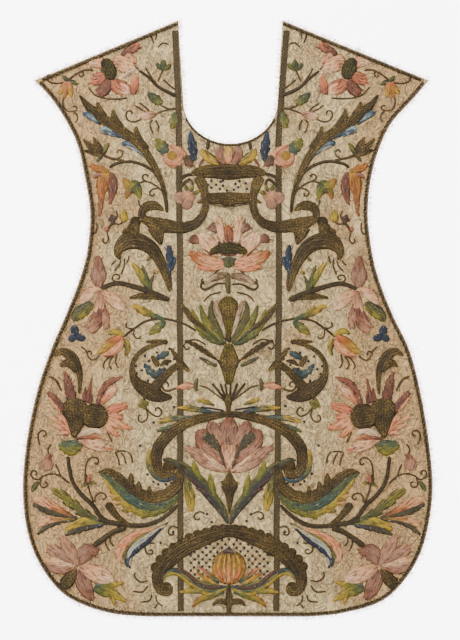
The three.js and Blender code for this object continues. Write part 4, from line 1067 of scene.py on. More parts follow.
    def mesh(self, name):
        """The gathered shapes as one smooth mesh."""
        mesh = bpy.data.meshes.new(name)
        points = np.vstack(self.points) * MM
        mesh.from_pydata(points.tolist(), [], self.faces)
        for label, values in (("tint", self.tint), ("fleck", self.fleck)):
            layer = mesh.attributes.new(label, "FLOAT_COLOR", "POINT")
            rgba = np.ones((len(points), 4), np.float32)
            rgba[:, :3] = np.vstack(values)
            layer.data.foreach_set("color", rgba.ravel())
        layer = mesh.attributes.new("thread", "FLOAT_VECTOR", "POINT")
        layer.data.foreach_set("vector", np.vstack(self.thread).astype(np.float32).ravel())
        mesh.shade_smooth()
        mesh.validate()
        return mesh


class Value:
    """A socket that adds Math nodes when it meets an operator."""

    def __init__(self, graph, socket):
        self.graph = graph
        self.socket = socket

    def math(self, operation, other=None, swap=False):
        """This value and another, or the other way round, in one Math node."""
        values = [self] if other is None else [other, self] if swap else [self, other]
        return self.graph.add("ShaderNodeMath", {"operation": operation}, *values)

    def __add__(self, other):
        return self.math("ADD", other)

    __radd__ = __add__

    def __sub__(self, other):
        return self.math("SUBTRACT", other)

    def __rsub__(self, other):
        return self.math("SUBTRACT", other, swap=True)

    def __mul__(self, other):
        return self.math("MULTIPLY", other)

    __rmul__ = __mul__

    def __truediv__(self, other):
        return self.math("DIVIDE", other)


class Finish:
    """A material's nodes."""

    def __init__(self, name, **shader):
        self.material = bpy.data.materials.new(name)
        self.material.use_nodes = True
        self.nodes = self.material.node_tree.nodes
        self.links = self.material.node_tree.links
        self.shader = next(n for n in self.nodes if n.type == "BSDF_PRINCIPLED")
        for label, value in shader.items():
            self.shader.inputs[label.replace("_", " ")].default_value = value

    def add(self, kind, settings, *values, out=0, **named):
        """Adds a node: its settings first, then its sockets, by place or by name."""
        node = self.nodes.new(kind)
        for label, value in settings.items():
            setattr(node, label, value)
        places = [*enumerate(values), *((k.replace("_", " "), v) for k, v in named.items())]
        for place, value in places:
            self.put(node.inputs[place], value)
        return Value(self, node.outputs[out])

    def put(self, socket, value):
        """Links a value to a socket, or sets a number on it."""
        if isinstance(value, Value):
            self.links.new(value.socket, socket)
        elif value is not None:
            socket.default_value = value

    def feed(self, label, value):
        """Feeds one input of the shader."""
        self.put(self.shader.inputs[label], value)

    def split(self, vector):
        """The three numbers of a vector."""
        node = self.nodes.new("ShaderNodeSeparateXYZ")
        self.links.new(vector.socket, node.inputs[0])
        return [Value(self, s) for s in node.outputs]

    def vector(self, x, y, z=0.0):
        """A vector from three numbers."""
        return self.add("ShaderNodeCombineXYZ", {}, x, y, z)

    def attribute(self, label, out):
        """What the mesh's points carry under a name: output 0 is a colour, 1 is a vector."""
        node = self.nodes.new("ShaderNodeAttribute")
        node.attribute_name = label
        return Value(self, node.outputs[out])

    def position(self):
        """Place on the object, in millimetres, as x, y and z."""
        place = self.add("ShaderNodeTexCoord", {}, out=3)
        return [v * 1000.0 for v in self.split(place)]

    def noise(self, vector, detail=2.0, roughness=0.5, **more):
        """Noise whose grain is about one unit of the vector."""
        return self.add("ShaderNodeTexNoise", {"noise_dimensions": "3D"}, Vector=vector, Scale=1.0,
                        Detail=detail, Roughness=roughness, **more)

    def magnitude(self, value):
        """A value without its sign."""
        return self.add("ShaderNodeMath", {"operation": "ABSOLUTE"}, value)

    def sine(self, value):
        """The sine of a value in radians."""
        return self.add("ShaderNodeMath", {"operation": "SINE"}, value)

    def between(self, value, low, high):
        """0 below low, 1 above high, smooth between them."""
        return self.add("ShaderNodeMapRange", {"interpolation_type": "SMOOTHSTEP"},
                        value, low, high)

    def mix(self, factor, first, second, mode="MIX"):
        """A mix of two colours."""
        node = self.nodes.new("ShaderNodeMix")
        node.data_type = "RGBA"
        node.blend_type = mode
        for place, value in ((0, factor), (6, first), (7, second)):
            if isinstance(value, tuple) and len(value) == 3:
                value = (*value, 1)
            self.put(node.inputs[place], value)
        return Value(self, node.outputs[2])

    def scale(self, colour, amount):
        """A colour made lighter or darker by a number."""
        node = self.nodes.new("ShaderNodeVectorMath")
        node.operation = "SCALE"
        self.put(node.inputs[0], colour)
        self.put(node.inputs[3], amount)
        return Value(self, node.outputs[0])

    def bump(self, height, distance, strength=1.0):
        """Relief on the shader's normal; distance is in millimetres."""
        node = self.nodes.new("ShaderNodeBump")
        node.inputs["Strength"].default_value = strength
        node.inputs["Distance"].default_value = distance * MM
        self.links.new(height.socket, node.inputs["Height"])
        self.links.new(node.outputs[0], self.shader.inputs["Normal"])


# Net fields: middle x, y, half width, half height, mesh of the net, and True where beads fill it.
NETS = ((-2, 228, 38, 10, 11, False), (-0.5, -419, 76, 42, 13.2, True))
# Beads on the left side, x, y; the right side repeats them.
BEADS = (
    (-123, -59), (-137, -73), (-160, -82), (-151, -88), (-158, -95), (-119, -86), (-113, -87),
    (-94, -69), (-105, -79), (-112, -88), (-128, -101), (-140, -106), (-146, -66), (-103, -52),
    (-96, -151), (-130, -177), (-131, -280), (-122, -284), (-110, -285), (-100, -282), (-93, -275),
    (-30, -348), (-20, -357), (-66, -369), (-118, -384), (-97, -366), (-153, -218), (-141, -266),
    (-39, -335),
)
# Beads of the neck cartouche, each sewn once.
NECK_BEADS = (
    (-31, 234), (-37, 229), (-23, 228), (-16, 234), (-12, 236), (-10, 227), (-17, 222), (-31, 223),
    (-5, 220), (10, 230), (17, 234), (16, 224), (8, 220), (29, 231), (29, 222),
)
BEAD_RADIUS = 2.7
BEAD_STRAY = 1.5
NET_THREADS = 14  # threads of a net on each side of its middle
NET_POINTS = 81
THREAD = 3.2  # the thinnest couched cord
FRAY_COUNT = 5000
FRAY_LENGTH = 8.5  # the longest of most of the frayed threads
LOOSE_SHARE = 0.02  # the share that came loose
LOOSE_LENGTH = 22  # and the longest of those
FRAY_ROOT = 0.6  # how far a frayed thread starts inside the edge
FRAY_BELOW = 0.7  # and under the panel's face
FRAY_RADIUS = 0.34
FRAY_FLOOR = 0.25  # the lowest that it hangs
FRAY_SIDES = 3
FRAY_SHARES = (0, 0.33, 0.66, 1)  # its sections, from root to tip
STREAK = (0.32, 0.25, 0.20)  # what the shadows between the threads leave of a dye
WORN = (0.42, 0.34, 0.21)  # the ground where the silk has worn away
# Every dye is worked deeper than it looks, as DEEPEN x colour to the power DEEPEN_POWER.
DEEPEN = 1.12
DEEPEN_POWER = 1.42
CAMERA_PLACE = (0.00086, -0.003)  # over the middle of the cloth, in metres
CLOTH_TOP = 0.005  # what the camera's height is measured from
FLOOR_GLOW = 7
# Lamps: name, place, size and power. Each looks at the middle of the cloth.
LAMPS = (
    ("key", (-1.7, 1.5, 1.5), 1.2, 95), ("fill", (1.9, -0.7, 2.4), 2.4, 22),
    ("top", (0.0, 0.2, 3.6), 3.0, 40),
)


def dye(name, description, default):
    """A colour that can be picked in the sidebar."""
    return FloatVectorProperty(name=name, description=description, default=default,
                               subtype="COLOR_GAMMA", min=0, max=1)


class ChasubleDyes(bpy.types.PropertyGroup):
    """Colours of the threads and the silk."""

    ground: dye("Ground silk", "The cream silk of the front", (0.83, 0.755, 0.60))
    lining: dye("Back silk", "The plainer silk of the back panel", (0.74, 0.67, 0.54))
    gold: dye("Gold thread", "Dull gold thread over padding", (0.455, 0.385, 0.225))
    bright: dye("Bright gold", "Rubbed gold thread", (0.68, 0.60, 0.40))
    bronze: dye("Bronze thread", "Darkened gold thread", (0.335, 0.28, 0.165))
    vine: dye("Vine cord", "Dark cord of the stems and curls", (0.40, 0.33, 0.20))
    cordgold: dye("Edging cord", "Cord along the edges", (0.26, 0.21, 0.13))
    galloon: dye("Galloon", "The two woven bands", (0.445, 0.38, 0.225))
    olive: dye("Olive", "Olive silk", (0.42, 0.38, 0.11))
    brown: dye("Brown", "Brown silk", (0.42, 0.27, 0.18))
    wine: dye("Wine", "Faded wine silk", (0.55, 0.36, 0.25))
    rose: dye("Rose", "Faded rose silk", (0.70, 0.54, 0.425))
    mauve: dye("Mauve", "Mauve silk", (0.63, 0.50, 0.405))
    peach: dye("Peach", "Peach silk", (0.82, 0.645, 0.485))
    blush: dye("Blush", "Palest pink silk", (0.84, 0.72, 0.585))
    coral: dye("Coral", "Coral silk", (0.77, 0.51, 0.36))
    orange: dye("Orange", "Orange silk", (0.65, 0.40, 0.03))
    amber: dye("Amber", "Amber silk", (0.63, 0.46, 0.03))
    yellow: dye("Yellow", "Yellow silk", (0.71, 0.60, 0.09))
    lime: dye("Lime", "Yellow-green silk", (0.56, 0.52, 0.04))
    leaf: dye("Leaf", "Leaf green silk", (0.39, 0.40, 0.06))
    moss: dye("Moss", "Dark moss silk", (0.35, 0.33, 0.16))
    pine: dye("Pine", "Dark green silk", (0.25, 0.29, 0.19))
    teal: dye("Teal", "Blue-green silk", (0.30, 0.38, 0.32))
    navy: dye("Navy", "Dark blue silk", (0.14, 0.18, 0.25))
    blue: dye("Blue", "Mid blue silk", (0.22, 0.31, 0.38))
    sky: dye("Sky", "Pale blue silk", (0.56, 0.62, 0.62))


class ChasubleSizes(bpy.types.PropertyGroup):
    """Sizes that a user may change."""

    band_width: FloatProperty(name="Band width", description="Width of the two woven bands",
                              default=10.5 * MM, min=5 * MM, max=30 * MM, subtype="DISTANCE",
                              unit="LENGTH")
    band_thick: FloatProperty(name="Band thickness", description="How far a band stands up",
                              default=1.3 * MM, min=0.5 * MM, max=3 * MM, subtype="DISTANCE",
                              unit="LENGTH")
    camera_height: FloatProperty(name="Camera height",
                                 description="Height of the camera over the cloth",
                                 default=3.04, min=1, max=10, subtype="DISTANCE", unit="LENGTH")


def dyes():
    """Every dye as a linear colour, deepened, because the picture lifts dark tones."""
    group = bpy.context.scene.chasuble_dyes
    return {name: tuple(DEEPEN * c**DEEPEN_POWER for c in linear(getattr(group, name)))
            for name in ChasubleDyes.__annotations__}


def silk_ground(name, colour, aged):
    """Plain old silk: fine weave, faded patches, painted shade along the troughs of its wrinkles
    and painted highlight along their crests.
    """
    f = Finish(name, Roughness=0.8, Sheen_Weight=0.1, Sheen_Roughness=0.5)
    x, y, z = f.position()
    patch = f.noise(f.vector(x / 80.0, y / 110.0, z / 200.0), detail=3)
    mottle = f.noise(f.vector(x / 7.5, y / 10.0, 4.0), detail=4, roughness=0.72)
    grain = f.noise(f.vector(x / 2.4, y / 3.2, 9.0), detail=2, roughness=0.7)
    slub = f.noise(f.vector(x / 3.6, y / 18.0, 12.0), detail=2)
    broad = f.noise(f.vector(x / 17.0, y / 26.0, 2.0), detail=2, Distortion=1.4)
    narrow = f.noise(f.vector(x / 9.5, y / 13.0, 7.0), detail=2, Distortion=2.0)
    # Painted shade: dark lines along the troughs of the wrinkles, broad and fine; painted
    # highlight: a pale line along the crest beside each broad trough.
    crease_shade = f.between(f.magnitude(broad - 0.5), 0.04, 0.0) * f.between(mottle, 0.34, 0.6)
    crest_highlight = f.between(f.magnitude(broad - 0.565), 0.04, 0.0)
    fine = f.between(f.magnitude(narrow - 0.5), 0.055, 0.0) * f.between(patch, 0.3, 0.55)
    side = f.between(f.magnitude(x), 100.0, 320.0)
    # The first two colours are the silk's own tones; the last two are painted shade for the broad
    # and fine wrinkle troughs.
    dark, stain, line, fine_crease_shade = (
        tuple(c * k for c, k in zip(colour, shares))
        for shares in ((0.70, 0.63, 0.54), (0.92, 0.64, 0.42), (0.26, 0.22, 0.17),
                       (0.34, 0.29, 0.22))
    )
    pale = tuple(min(1, c * k) for c, k in zip(colour, (1.34, 1.34, 1.28)))
    tone = f.mix(f.between(mottle, 0.26, 0.64), dark, pale)
    tone = f.mix(f.between(patch + side * 0.4, 0.46, 0.8) * aged, tone, stain)
    # Painted highlight on the wrinkle crests, then painted shade in the broad and fine troughs.
    tone = f.mix(crest_highlight * 0.45, tone, pale)
    tone = f.mix(crease_shade * 0.95, tone, line)
    tone = f.mix(fine * 0.8, tone, fine_crease_shade)
    f.feed("Base Color", f.scale(tone, 0.32 + grain * 0.86 + slub * 0.5))
    weave = f.sine(x * (2 * math.pi / 0.9))
    f.feed("Roughness", 0.68 + mottle * 0.2)
    relief = grain * 0.8 + weave * 0.1 - crease_shade * 1.8 - fine * 1.1 + mottle * 0.8 + crest_highlight * 1.2
    f.bump(relief, 1.2, 0.9)
    return f.material


def thread_finish(name, roughness):
    """Silk floss and couched gold thread, told apart by the third thread value."""
    f = Finish(name, Roughness=roughness)
    tint, fleck = f.attribute("tint", 0), f.attribute("fleck", 0)
    a, b, metal = f.split(f.attribute("thread", 1))
    floss = f.noise(f.vector(a, b / 9.0, 0.0), detail=2)
    stitches = f.noise(f.vector(a / 2.9, b / 16.0, 5.0), detail=2, roughness=0.7)
    shade = f.noise(f.vector(a / 2.6, b / 13.0, 17.0), detail=2, roughness=0.7)
    bare = f.noise(f.vector(a / 2.4, b / 6.0, 41.0), detail=2, roughness=0.7)
    speck = f.noise(f.vector(a / 3.0, b / 3.6, 8.0), detail=3, roughness=0.8)
    painted_glint = f.noise(f.vector(a / 1.9, b / 2.2, 28.0), detail=2, roughness=0.7)
    wear = f.noise(f.vector(a / 13.0, b / 16.0, 3.0), detail=2)
    silk = f.mix(f.between(stitches, 0.42, 0.58), tint, fleck)
    silk = f.mix(f.between(shade, 0.49, 0.6) * 0.9, silk, f.mix(1.0, tint, STREAK, "MULTIPLY"))
    silk = f.mix(f.between(bare, 0.6, 0.7) * 0.55, silk, WORN)
    silk = f.scale(silk, 0.22 + floss * 1.2 + wear * 0.5)
    turn = 2 * math.pi
    row = f.sine(a * (turn / 1.05))
    step = f.add("ShaderNodeMath", {"operation": "FLOOR"}, a / 2.1)
    brick = f.sine(b * (turn / 3.4) + step * math.pi)
    ply = f.sine(a * (turn / 4.6) + wear * 7.0)
    gold = f.mix(f.between(speck + brick * 0.03, 0.4, 0.6), f.scale(tint, 0.26), f.scale(tint, 1.5))
    # Painted glints: bright spots on the couched gold, far lighter than the thread.
    gold = f.mix(f.between(painted_glint + wear * 0.2, 0.62, 0.75), gold, f.scale(tint, 3.8))
    gold = f.scale(gold, 0.6 + wear * 0.8 + ply * 0.26)
    f.feed("Base Color", f.mix(metal, silk, gold))
    f.feed("Metallic", metal * 0.35)
    f.feed("Roughness", roughness - metal * 0.12 + speck * 0.14)
    silky = (1 - metal) * (floss * 0.6 + stitches * 1.2)
    couched = metal * (row * 0.2 + brick * 0.25 + speck * 1.5 + ply * 0.5)
    f.bump(silky + couched, 1.0, 1.0)
    return f.material


def band_finish(dye_colour):
    """Woven metal galloon: a slanting twill between two plain selvedges."""
    f = Finish("galloon", Roughness=0.5)
    a, b, _ = f.split(f.attribute("thread", 1))
    edge = f.magnitude(a)
    twill = f.sine((b + a * TWILL_SLANT) * (2 * math.pi / TWILL_PITCH))
    thread = f.sine(b * (2 * math.pi / 0.9))
    worn = f.noise(f.vector(a / 6.0, b / 40.0, 2.0), detail=4, roughness=0.65)
    speck = f.noise(f.vector(a / 2.0, b / 2.0, 6.0), detail=3, roughness=0.75)
    dark = tuple(c * 0.2 for c in dye_colour)
    light = tuple(min(1, c * 2.6) for c in dye_colour)
    selvedge = f.between(edge, 3.6, 4.6)
    tone = f.mix(f.between(twill * 0.2 + speck, 0.3, 0.72), dark, dye_colour)
    tone = f.mix(selvedge * 0.75, tone, dark)
    tone = f.mix(f.between(speck + twill * 0.08 + worn * 0.3, 0.7, 0.86), tone, light)
    f.feed("Base Color", f.scale(tone, 0.5 + worn * 0.8))
    f.feed("Metallic", 0.25 + worn * 0.25)
    f.feed("Roughness", 0.42 + speck * 0.2)
    f.bump(twill * 0.5 + thread * 0.15 + speck * 0.8, 0.6, 0.8)
    return f.material


def plain_finish(name, colour, roughness, cell, spread=0.3, bump=0.3, **shader):
    """A dyed or painted surface with uneven colour and a soft grain."""
    f = Finish(name, Roughness=roughness, **shader)
    x, y, z = f.position()
    grain = f.noise(f.vector(x / cell, y / cell, z / cell), detail=3)
    broad = f.noise(f.vector(x / (cell * 9), y / (cell * 9), z / (cell * 9)), detail=2)
    dark = tuple(c * (1 - spread) for c in colour)
    light = tuple(min(1, c * (1 + spread)) for c in colour)
    f.feed("Base Color", f.mix(grain * 0.6 + broad * 0.4, dark, light))
    f.feed("Roughness", roughness - 0.05 + grain * 0.1)
    f.bump(grain, bump)
    return f.material


def twisted_cord(work, line, size, shade_to_light_dyes):
    """Two strands, each with its own dyes, twisted round each other along a line of x, y; each run
    of dyes goes from a strand's underside to its top, painted shade below and painted light above.
    """
    line = resample(np.asarray(line, float), CORD_STEP)
    run = run_length(line)
    side = across_of(line)
    radius = size["width"] * 0.32
    swing = size["width"] * 0.26
    middle = cloth(line[:, 0], line[:, 1]) + size["height"] * 0.5
    turn = np.linspace(0, 2 * math.pi, CORD_SIDES, endpoint=False)
    faces = [face[::-1] for face in tube_faces(len(line), CORD_SIDES)]
    for strand, names in enumerate(shade_to_light_dyes):
        angle = run / size["pitch"] * 2 * math.pi + strand * math.pi
        cx = line[:, 0] + side[:, 0] * swing * np.cos(angle)
        cy = line[:, 1] + side[:, 1] * swing * np.cos(angle)
        cz = middle + 0.22 * size["height"] * np.sin(angle)
        x = cx[:, None] + side[:, 0, None] * radius * np.cos(turn)
        y = cy[:, None] + side[:, 1, None] * radius * np.cos(turn)
        z = cz[:, None] + 0.8 * radius * np.sin(turn)[None, :]
        # Painted shade and light: 0 on the underside of each strand, 1 on its top.
        shade = np.broadcast_to(0.5 + 0.5 * np.sin(turn)[None, :], x.shape)
        tone = work.blend(names.split(), shade)
        ply = run[:, None] * 0.8 + turn[None, :] * radius
        thread = np.stack(np.broadcast_arrays(ply, turn * radius - run[:, None] * 0.3, 0.9), -1)
        work.add(np.stack([x, y, z], -1), faces, tone, tone * 1.4, thread)


def inset_line(line, inset):
    """A line moved to its right, into the cloth."""
    return line[:, :2] - across_of(line) * inset


def trimmed(line, start, end):
    """A line with a length taken off each end."""
    run = run_length(line)
    return line[(run >= start) & (run <= run[-1] - end)]


class ChasubleStage(bpy.types.Operator):
    """Lays a pale floor under the cloth and sets soft lights and the overhead camera"""

    bl_idname = "chasuble.stage"
    bl_label = "Stage"

    def execute(self, context):
        bpy.ops.object.select_all(action="DESELECT")
        bpy.ops.mesh.primitive_plane_add(size=8, location=(0, 0, -0.0004))
        floor = context.object
        floor.name = "floor"
        floor.data.materials.append(plain_finish("paper", (0.93, 0.89, 0.90), 0.9, 40, 0.01, 0.05,
                                                 Emission_Color=(1, 0.93, 0.95, 1),
                                                 Emission_Strength=FLOOR_GLOW))
        for name, place, size, power in LAMPS:
            lamp = bpy.data.lights.new(name, "AREA")
            lamp.size = size
            lamp.energy = power
            holder = bpy.data.objects.new(name, lamp)
            holder.location = place
            holder.rotation_euler = (-Vector(place)).to_track_quat("-Z", "Y").to_euler()
            context.scene.collection.objects.link(holder)
        world = bpy.data.worlds.new("studio")
        world.use_nodes = True
        world.node_tree.nodes["Background"].inputs[0].default_value = (0.95, 0.96, 1.0, 1)
        world.node_tree.nodes["Background"].inputs[1].default_value = 0.75
        context.scene.world = world
        lens = bpy.data.cameras.new("overhead")
        lens.sensor_fit = "VERTICAL"
        lens.sensor_height = 36
        lens.lens = 100
        camera = bpy.data.objects.new("overhead", lens)
        height = context.scene.chasuble_sizes.camera_height + CLOTH_TOP
        camera.location = (*CAMERA_PLACE, height)
        context.scene.collection.objects.link(camera)
        context.scene.camera = camera
        return {"FINISHED"}


class ChasublePanels(bpy.types.Operator):
    """Makes the front and back panels as thin sheets of one cut"""

    bl_idname = "chasuble.panels"
    bl_label = "Front and back panels"

    def execute(self, context):
        colours = dyes()
        front = show("front_silk", sheet_mesh("front_silk", FRONT_STEP, EDGE_STEP, cloth),
                     silk_ground("ground_silk", colours["ground"], 0.7),
                     "ground_silk", "front_panel")
        back = show("back_silk",
                    sheet_mesh("back_silk", BACK_STEP, 2 * EDGE_STEP, back_cloth),
                    silk_ground("back_silk", colours["lining"], 0.3), "back_silk", "back_panel")
        for panel, thick in ((front, FRONT_CLOTH), (back, BACK_CLOTH)):
            select_only(panel)
            shell = panel.modifiers.new("thickness", "SOLIDIFY")
            shell.thickness = thick * MM
            shell.offset = -1
            bpy.ops.object.modifier_apply(modifier=shell.name)
            panel.data.shade_smooth()
        return {"FINISHED"}


class ChasubleBands(bpy.types.Operator):
    """Weaves the two gold bands from the neck points to the hem"""

    bl_idname = "chasuble.bands"
    bl_label = "Gold bands"

    def execute(self, context):
        colours = dyes()
        sizes = context.scene.chasuble_sizes
        finish = band_finish(colours["galloon"])
        for column, name in ((1, "band_left"), (2, "band_right")):
            work = Threadwork(colours)
            line = spline([(row[column], row[0]) for row in BANDS], 1.5)
            line = line[(line[:, 1] > BAND_FROM) & (line[:, 1] < BAND_TO)]
            u, rise = np.array(BAND_PROFILE, float).T
            side = across_of(line)
            run = run_length(line)
            half = sizes.band_width / MM / 2
            wander = 0.6 * smooth_noise(line[:, 1], line[:, 1] * 0, 60, 31 + column)
            x = line[:, 0, None] + side[:, 0, None] * u * half + wander[:, None]
            y = line[:, 1, None] + side[:, 1, None] * u * half
            rib = 0.16 * np.sin(2 * math.pi * (run[:, None] + u * half * TWILL_SLANT) / TWILL_PITCH)
            rib = rib * (np.abs(u) < 0.8)
            z = cloth(x, y) + sizes.band_thick / MM * rise + rib - SINK * (np.abs(u) > 0.99)
            n, m = x.shape
            tone = np.broadcast_to(np.array(colours["galloon"]), (n, m, 3))
            thread = np.stack(np.broadcast_arrays(u * half, run[:, None], 1.0), -1)
            work.add(np.stack([x, y, z], -1), tube_faces(n, m), tone, tone, thread)
            show(name + "_galloon", work.mesh(name + "_galloon"), finish, "gold_band", name)
        return {"FINISHED"}


class ChasubleCords(bpy.types.Operator):
    """Twists the dark gold cord just inside the raw edge"""

    bl_idname = "chasuble.cords"
    bl_label = "Edge cords"

    def execute(self, context):
        finish = thread_finish("edge_cord", 0.55)
        edges = edge_lines()
        curve = trimmed(neck_curve(), CURVE_TRIM, CURVE_TRIM)
        stretches = (
            ("neck_cord", curve, NECK_CORD, 0, 0),
            ("side_cord_right", edges["side_right"], CORD, TIP_TRIM, 0),
            ("hem_cord", edges["hem"], CORD, 0, 0),
            ("side_cord_left", edges["side_left"], CORD, 0, TIP_TRIM),
            ("shoulder_cord_right", edges["shoulder_right"], CORD, NECK_TRIM, SHOULDER_TRIM),
            ("shoulder_cord_left", edges["shoulder_left"], CORD, SHOULDER_TRIM, NECK_TRIM),
        )
        for name, line, size, start, end in stretches:
            work = Threadwork(dyes())
            line = trimmed(inset_line(line, size["inset"]), start, end)
            # Each strand runs from painted shade underneath to painted light on top.
            twisted_cord(work, line, size, ("cordgold cordgold bronze", "cordgold bronze gold"))
            show(name + "_twist", work.mesh(name + "_twist"), finish, "edge_cord", name)
        return {"FINISHED"}


def read_option(option):
    """One option of a row, such as teeth=4, bite=.35 or way=across."""
    label, value = option.split("=")
    if label == "way":
        return label, value
    return label, float(value) if "." in value else int(value)


def read_row(line):
    """Stitch, how many sides it is sewn on, dyes, options and route of one row."""
    head, route = line.split(" : ")
    kind, names, *options = head.split()
    points = [tuple(float(value) for value in point.split(",")) for point in route.split()]
    sides = 2 if kind.startswith("2") else 1
    return kind.lstrip("2"), sides, names.replace(",", " "), dict(map(read_option, options)), points


def read_rows(text):
    """The rows of one motif."""
    return [read_row(line) for line in text.replace("\n    ", " ").strip().splitlines()]


def stitch(work, row):
    """Works one row of a motif."""
    kind, _, names, options, points = row
    if kind.startswith("dome"):
        (x, y, radius), = points
        work.dome(x, y, radius, names, lift=BOSS_LIFT if kind == "domeheart" else 0.0, **options)
    elif kind == "cord":
        route = [(x, y, max(THREAD, width * CORD_WIDER)) for x, y, width in points]
        work.leaf(route, names, CORD_RISE * route[0][2], metal=0.75, across=5, step=2.4, slant=1.5)
    elif kind == "silk":
        work.leaf(points, names, SILK_RISE, **options)
    else:
        lift = HEART_LIFT if kind == "goldheart" else 0.0
        work.leaf(points, names, GOLD_RISE, metal=1.0, rim=True, across=9, lift=lift, **options)


class ChasubleMotifs(bpy.types.Operator):
    """Embroiders the flowers, leaves, scrolls and stems in padded gold and silk"""

    bl_idname = "chasuble.motifs"
    bl_label = "Embroidered motifs"

    def execute(self, context):
        colours = dyes()
        finishes = {}
        for name, (pair, slot, node, text) in MOTIFS.items():
            rows = read_rows(text)
            if slot not in finishes:
                finishes[slot] = thread_finish(slot, 0.62 if slot != "gold_thread" else 0.55)
            for side, tag in ((1, "_left"), (-1, "_right")) if pair else ((1, ""),):
                work = Threadwork(colours, side)
                for row in rows:
                    stitch(work, row)
                    if row[1] == 2:
                        work.side = -work.side
                        stitch(work, row)
                        work.side = -work.side
                piece = name + tag + "_work"
                nodes = (node + tag,) if node else ()
                show(piece, work.mesh(piece), finishes[slot], slot, *nodes)
        return {"FINISHED"}


class ChasubleBeads(bpy.types.Operator):
    """Sews the beads and couches the net fields"""

    bl_idname = "chasuble.beads"
    bl_label = "Beads and nets"

    def execute(self, context):
        colours = dyes()
        work = Threadwork(colours)
        spots = [p for x, y in BEADS for p in ((x, y), (-x - MIRROR_SHIFT, y))] + list(NECK_BEADS)
        for mx, my, wide, high, cell, filled in NETS:
            if not filled:
                continue
            count = int(wide / cell) + 1
            for i in range(-count, count + 1):
                for j in range(-count, count + 1):
                    x, y = mx + (i + 0.5 * (j % 2)) * cell, my + j * cell * 0.5
                    if ((x - mx) / wide) ** 2 + ((y - my) / high) ** 2 < 0.92:
                        spots.append((x, y))
        for x, y in spots:
            stray = [BEAD_STRAY * smooth_noise(x, y, 5, seed) for seed in (33, 34)]
            work.dome(x + stray[0], y + stray[1], BEAD_RADIUS, "navy", 1.5, sides=8, rings=3)
        show("beads", work.mesh("beads"),
             plain_finish("bead", tuple(c * 0.5 for c in colours["navy"]), 0.3, 0.6), "gold_thread")
        net = Threadwork(colours)
        for mx, my, wide, high, cell, _ in NETS:
            for lean in (-1, 1):
                for i in range(-NET_THREADS, NET_THREADS + 1):
                    points = []
                    for s in np.linspace(-1, 1, NET_POINTS):
                        x = mx + i * cell + s * high
                        y = my + lean * s * high
                        if ((x - mx) / wide) ** 2 + ((y - my) / high) ** 2 < 1:
                            points.append((x, y, 0.8))
                    if len(points) > 5:
                        route = points[::4] + [points[-1]]
                        net.leaf(route, "bright", 0.6, metal=0.6, across=5, step=3)
        show("net", net.mesh("net"), thread_finish("net_thread", 0.6), "gold_thread")
        return {"FINISHED"}


def lay_sheets():
    """Called once everything that is sewn to the front panel is made; it only reads the outline of
    the cut and does nothing with it.
    """
    x, y = outline(EDGE_STEP).T


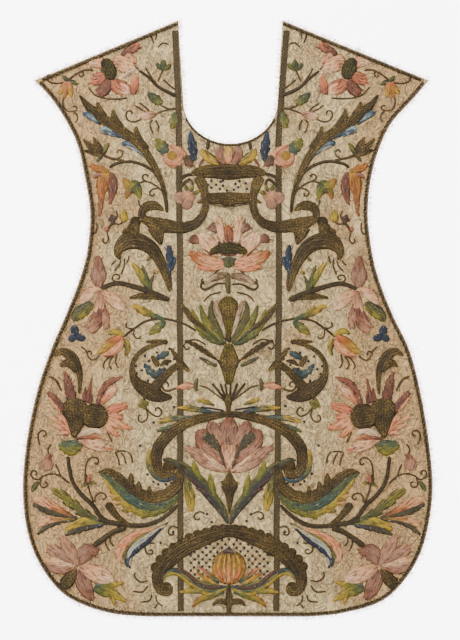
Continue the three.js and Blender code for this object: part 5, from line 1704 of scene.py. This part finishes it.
class ChasubleFraying(bpy.types.Operator):
    """Frays short threads out of the raw edge"""

    bl_idname = "chasuble.fraying"
    bl_label = "Frayed edge"

    def execute(self, context):
        rng = random.Random(8)
        colours = dyes()
        work = Threadwork(colours)
        ring = outline(2.0)
        side = across_of(np.vstack([ring, ring[:1]]))
        turn = np.linspace(0, 2 * math.pi, FRAY_SIDES, endpoint=False)
        count = len(FRAY_SHARES)
        faces = tube_faces(count, FRAY_SIDES)
        for _ in range(FRAY_COUNT):
            i = rng.randrange(len(ring))
            x0, y0 = ring[i]
            ox, oy = side[i]
            lean = rng.uniform(-1.2, 1.2)
            longest = LOOSE_LENGTH if rng.random() < LOOSE_SHARE else FRAY_LENGTH
            long = longest * rng.uniform(0.25, 1)
            z0 = FRONT_TOP - FRAY_BELOW + rng.uniform(-0.3, 0.3)
            rows = []
            for t in FRAY_SHARES:
                px = x0 + ox * (t * long - FRAY_ROOT) + oy * lean * t * t * long * 0.6
                py = y0 + oy * (t * long - FRAY_ROOT) - ox * lean * t * t * long * 0.6
                pz = max(FRAY_FLOOR, z0 - 0.9 * t * t * long * 0.4)
                r = FRAY_RADIUS * (1 - 0.5 * t)
                rows.append(np.column_stack([
                    px + r * np.cos(turn) * oy, py - r * np.cos(turn) * ox, pz + r * np.sin(turn),
                ]))
            tone = np.array(colours["ground"]) * rng.uniform(0.4, 0.95)
            tone = np.tile(tone, (count * FRAY_SIDES, 1))
            thread = np.column_stack([np.tile(turn, count), np.repeat(range(count), FRAY_SIDES),
                                      np.zeros(count * FRAY_SIDES)])
            work.add(np.vstack(rows), faces, tone, tone, thread)
        show("frayed_threads", work.mesh("frayed_threads"), thread_finish("loose_silk", 0.7),
             "ground_silk")
        lay_sheets()
        return {"FINISHED"}


class ChasublePanel(bpy.types.Panel):
    """The sizes, the dyes and a button for each group of pieces"""

    bl_idname = "VIEW3D_PT_chasuble"
    bl_label = "Chasuble"
    bl_space_type = "VIEW_3D"
    bl_region_type = "UI"
    bl_category = "Chasuble"

    def draw(self, context):
        layout = self.layout
        for operator in OPERATORS:
            layout.operator(operator.bl_idname)
        for group in (context.scene.chasuble_sizes, context.scene.chasuble_dyes):
            for label in type(group).__annotations__:
                layout.prop(group, label)


OPERATORS = (ChasubleStage, ChasublePanels, ChasubleBands, ChasubleCords, ChasubleMotifs,
             ChasubleBeads, ChasubleFraying)
CLASSES = (ChasubleDyes, ChasubleSizes, *OPERATORS, ChasublePanel)


def register():
    """Adds the classes and the two groups of values to Blender."""
    for item in CLASSES:
        bpy.utils.register_class(item)
    bpy.types.Scene.chasuble_dyes = bpy.props.PointerProperty(type=ChasubleDyes)
    bpy.types.Scene.chasuble_sizes = bpy.props.PointerProperty(type=ChasubleSizes)


def unregister():
    """Takes them away again."""
    del bpy.types.Scene.chasuble_sizes
    del bpy.types.Scene.chasuble_dyes
    for item in reversed(CLASSES):
        bpy.utils.unregister_class(item)


def main():
    """Makes every piece."""
    register()
    bpy.ops.chasuble.stage()
    bpy.ops.chasuble.panels()
    bpy.ops.chasuble.bands()
    bpy.ops.chasuble.cords()
    bpy.ops.chasuble.motifs()
    bpy.ops.chasuble.beads()
    bpy.ops.chasuble.fraying()


if __name__ == "__main__":
    main()
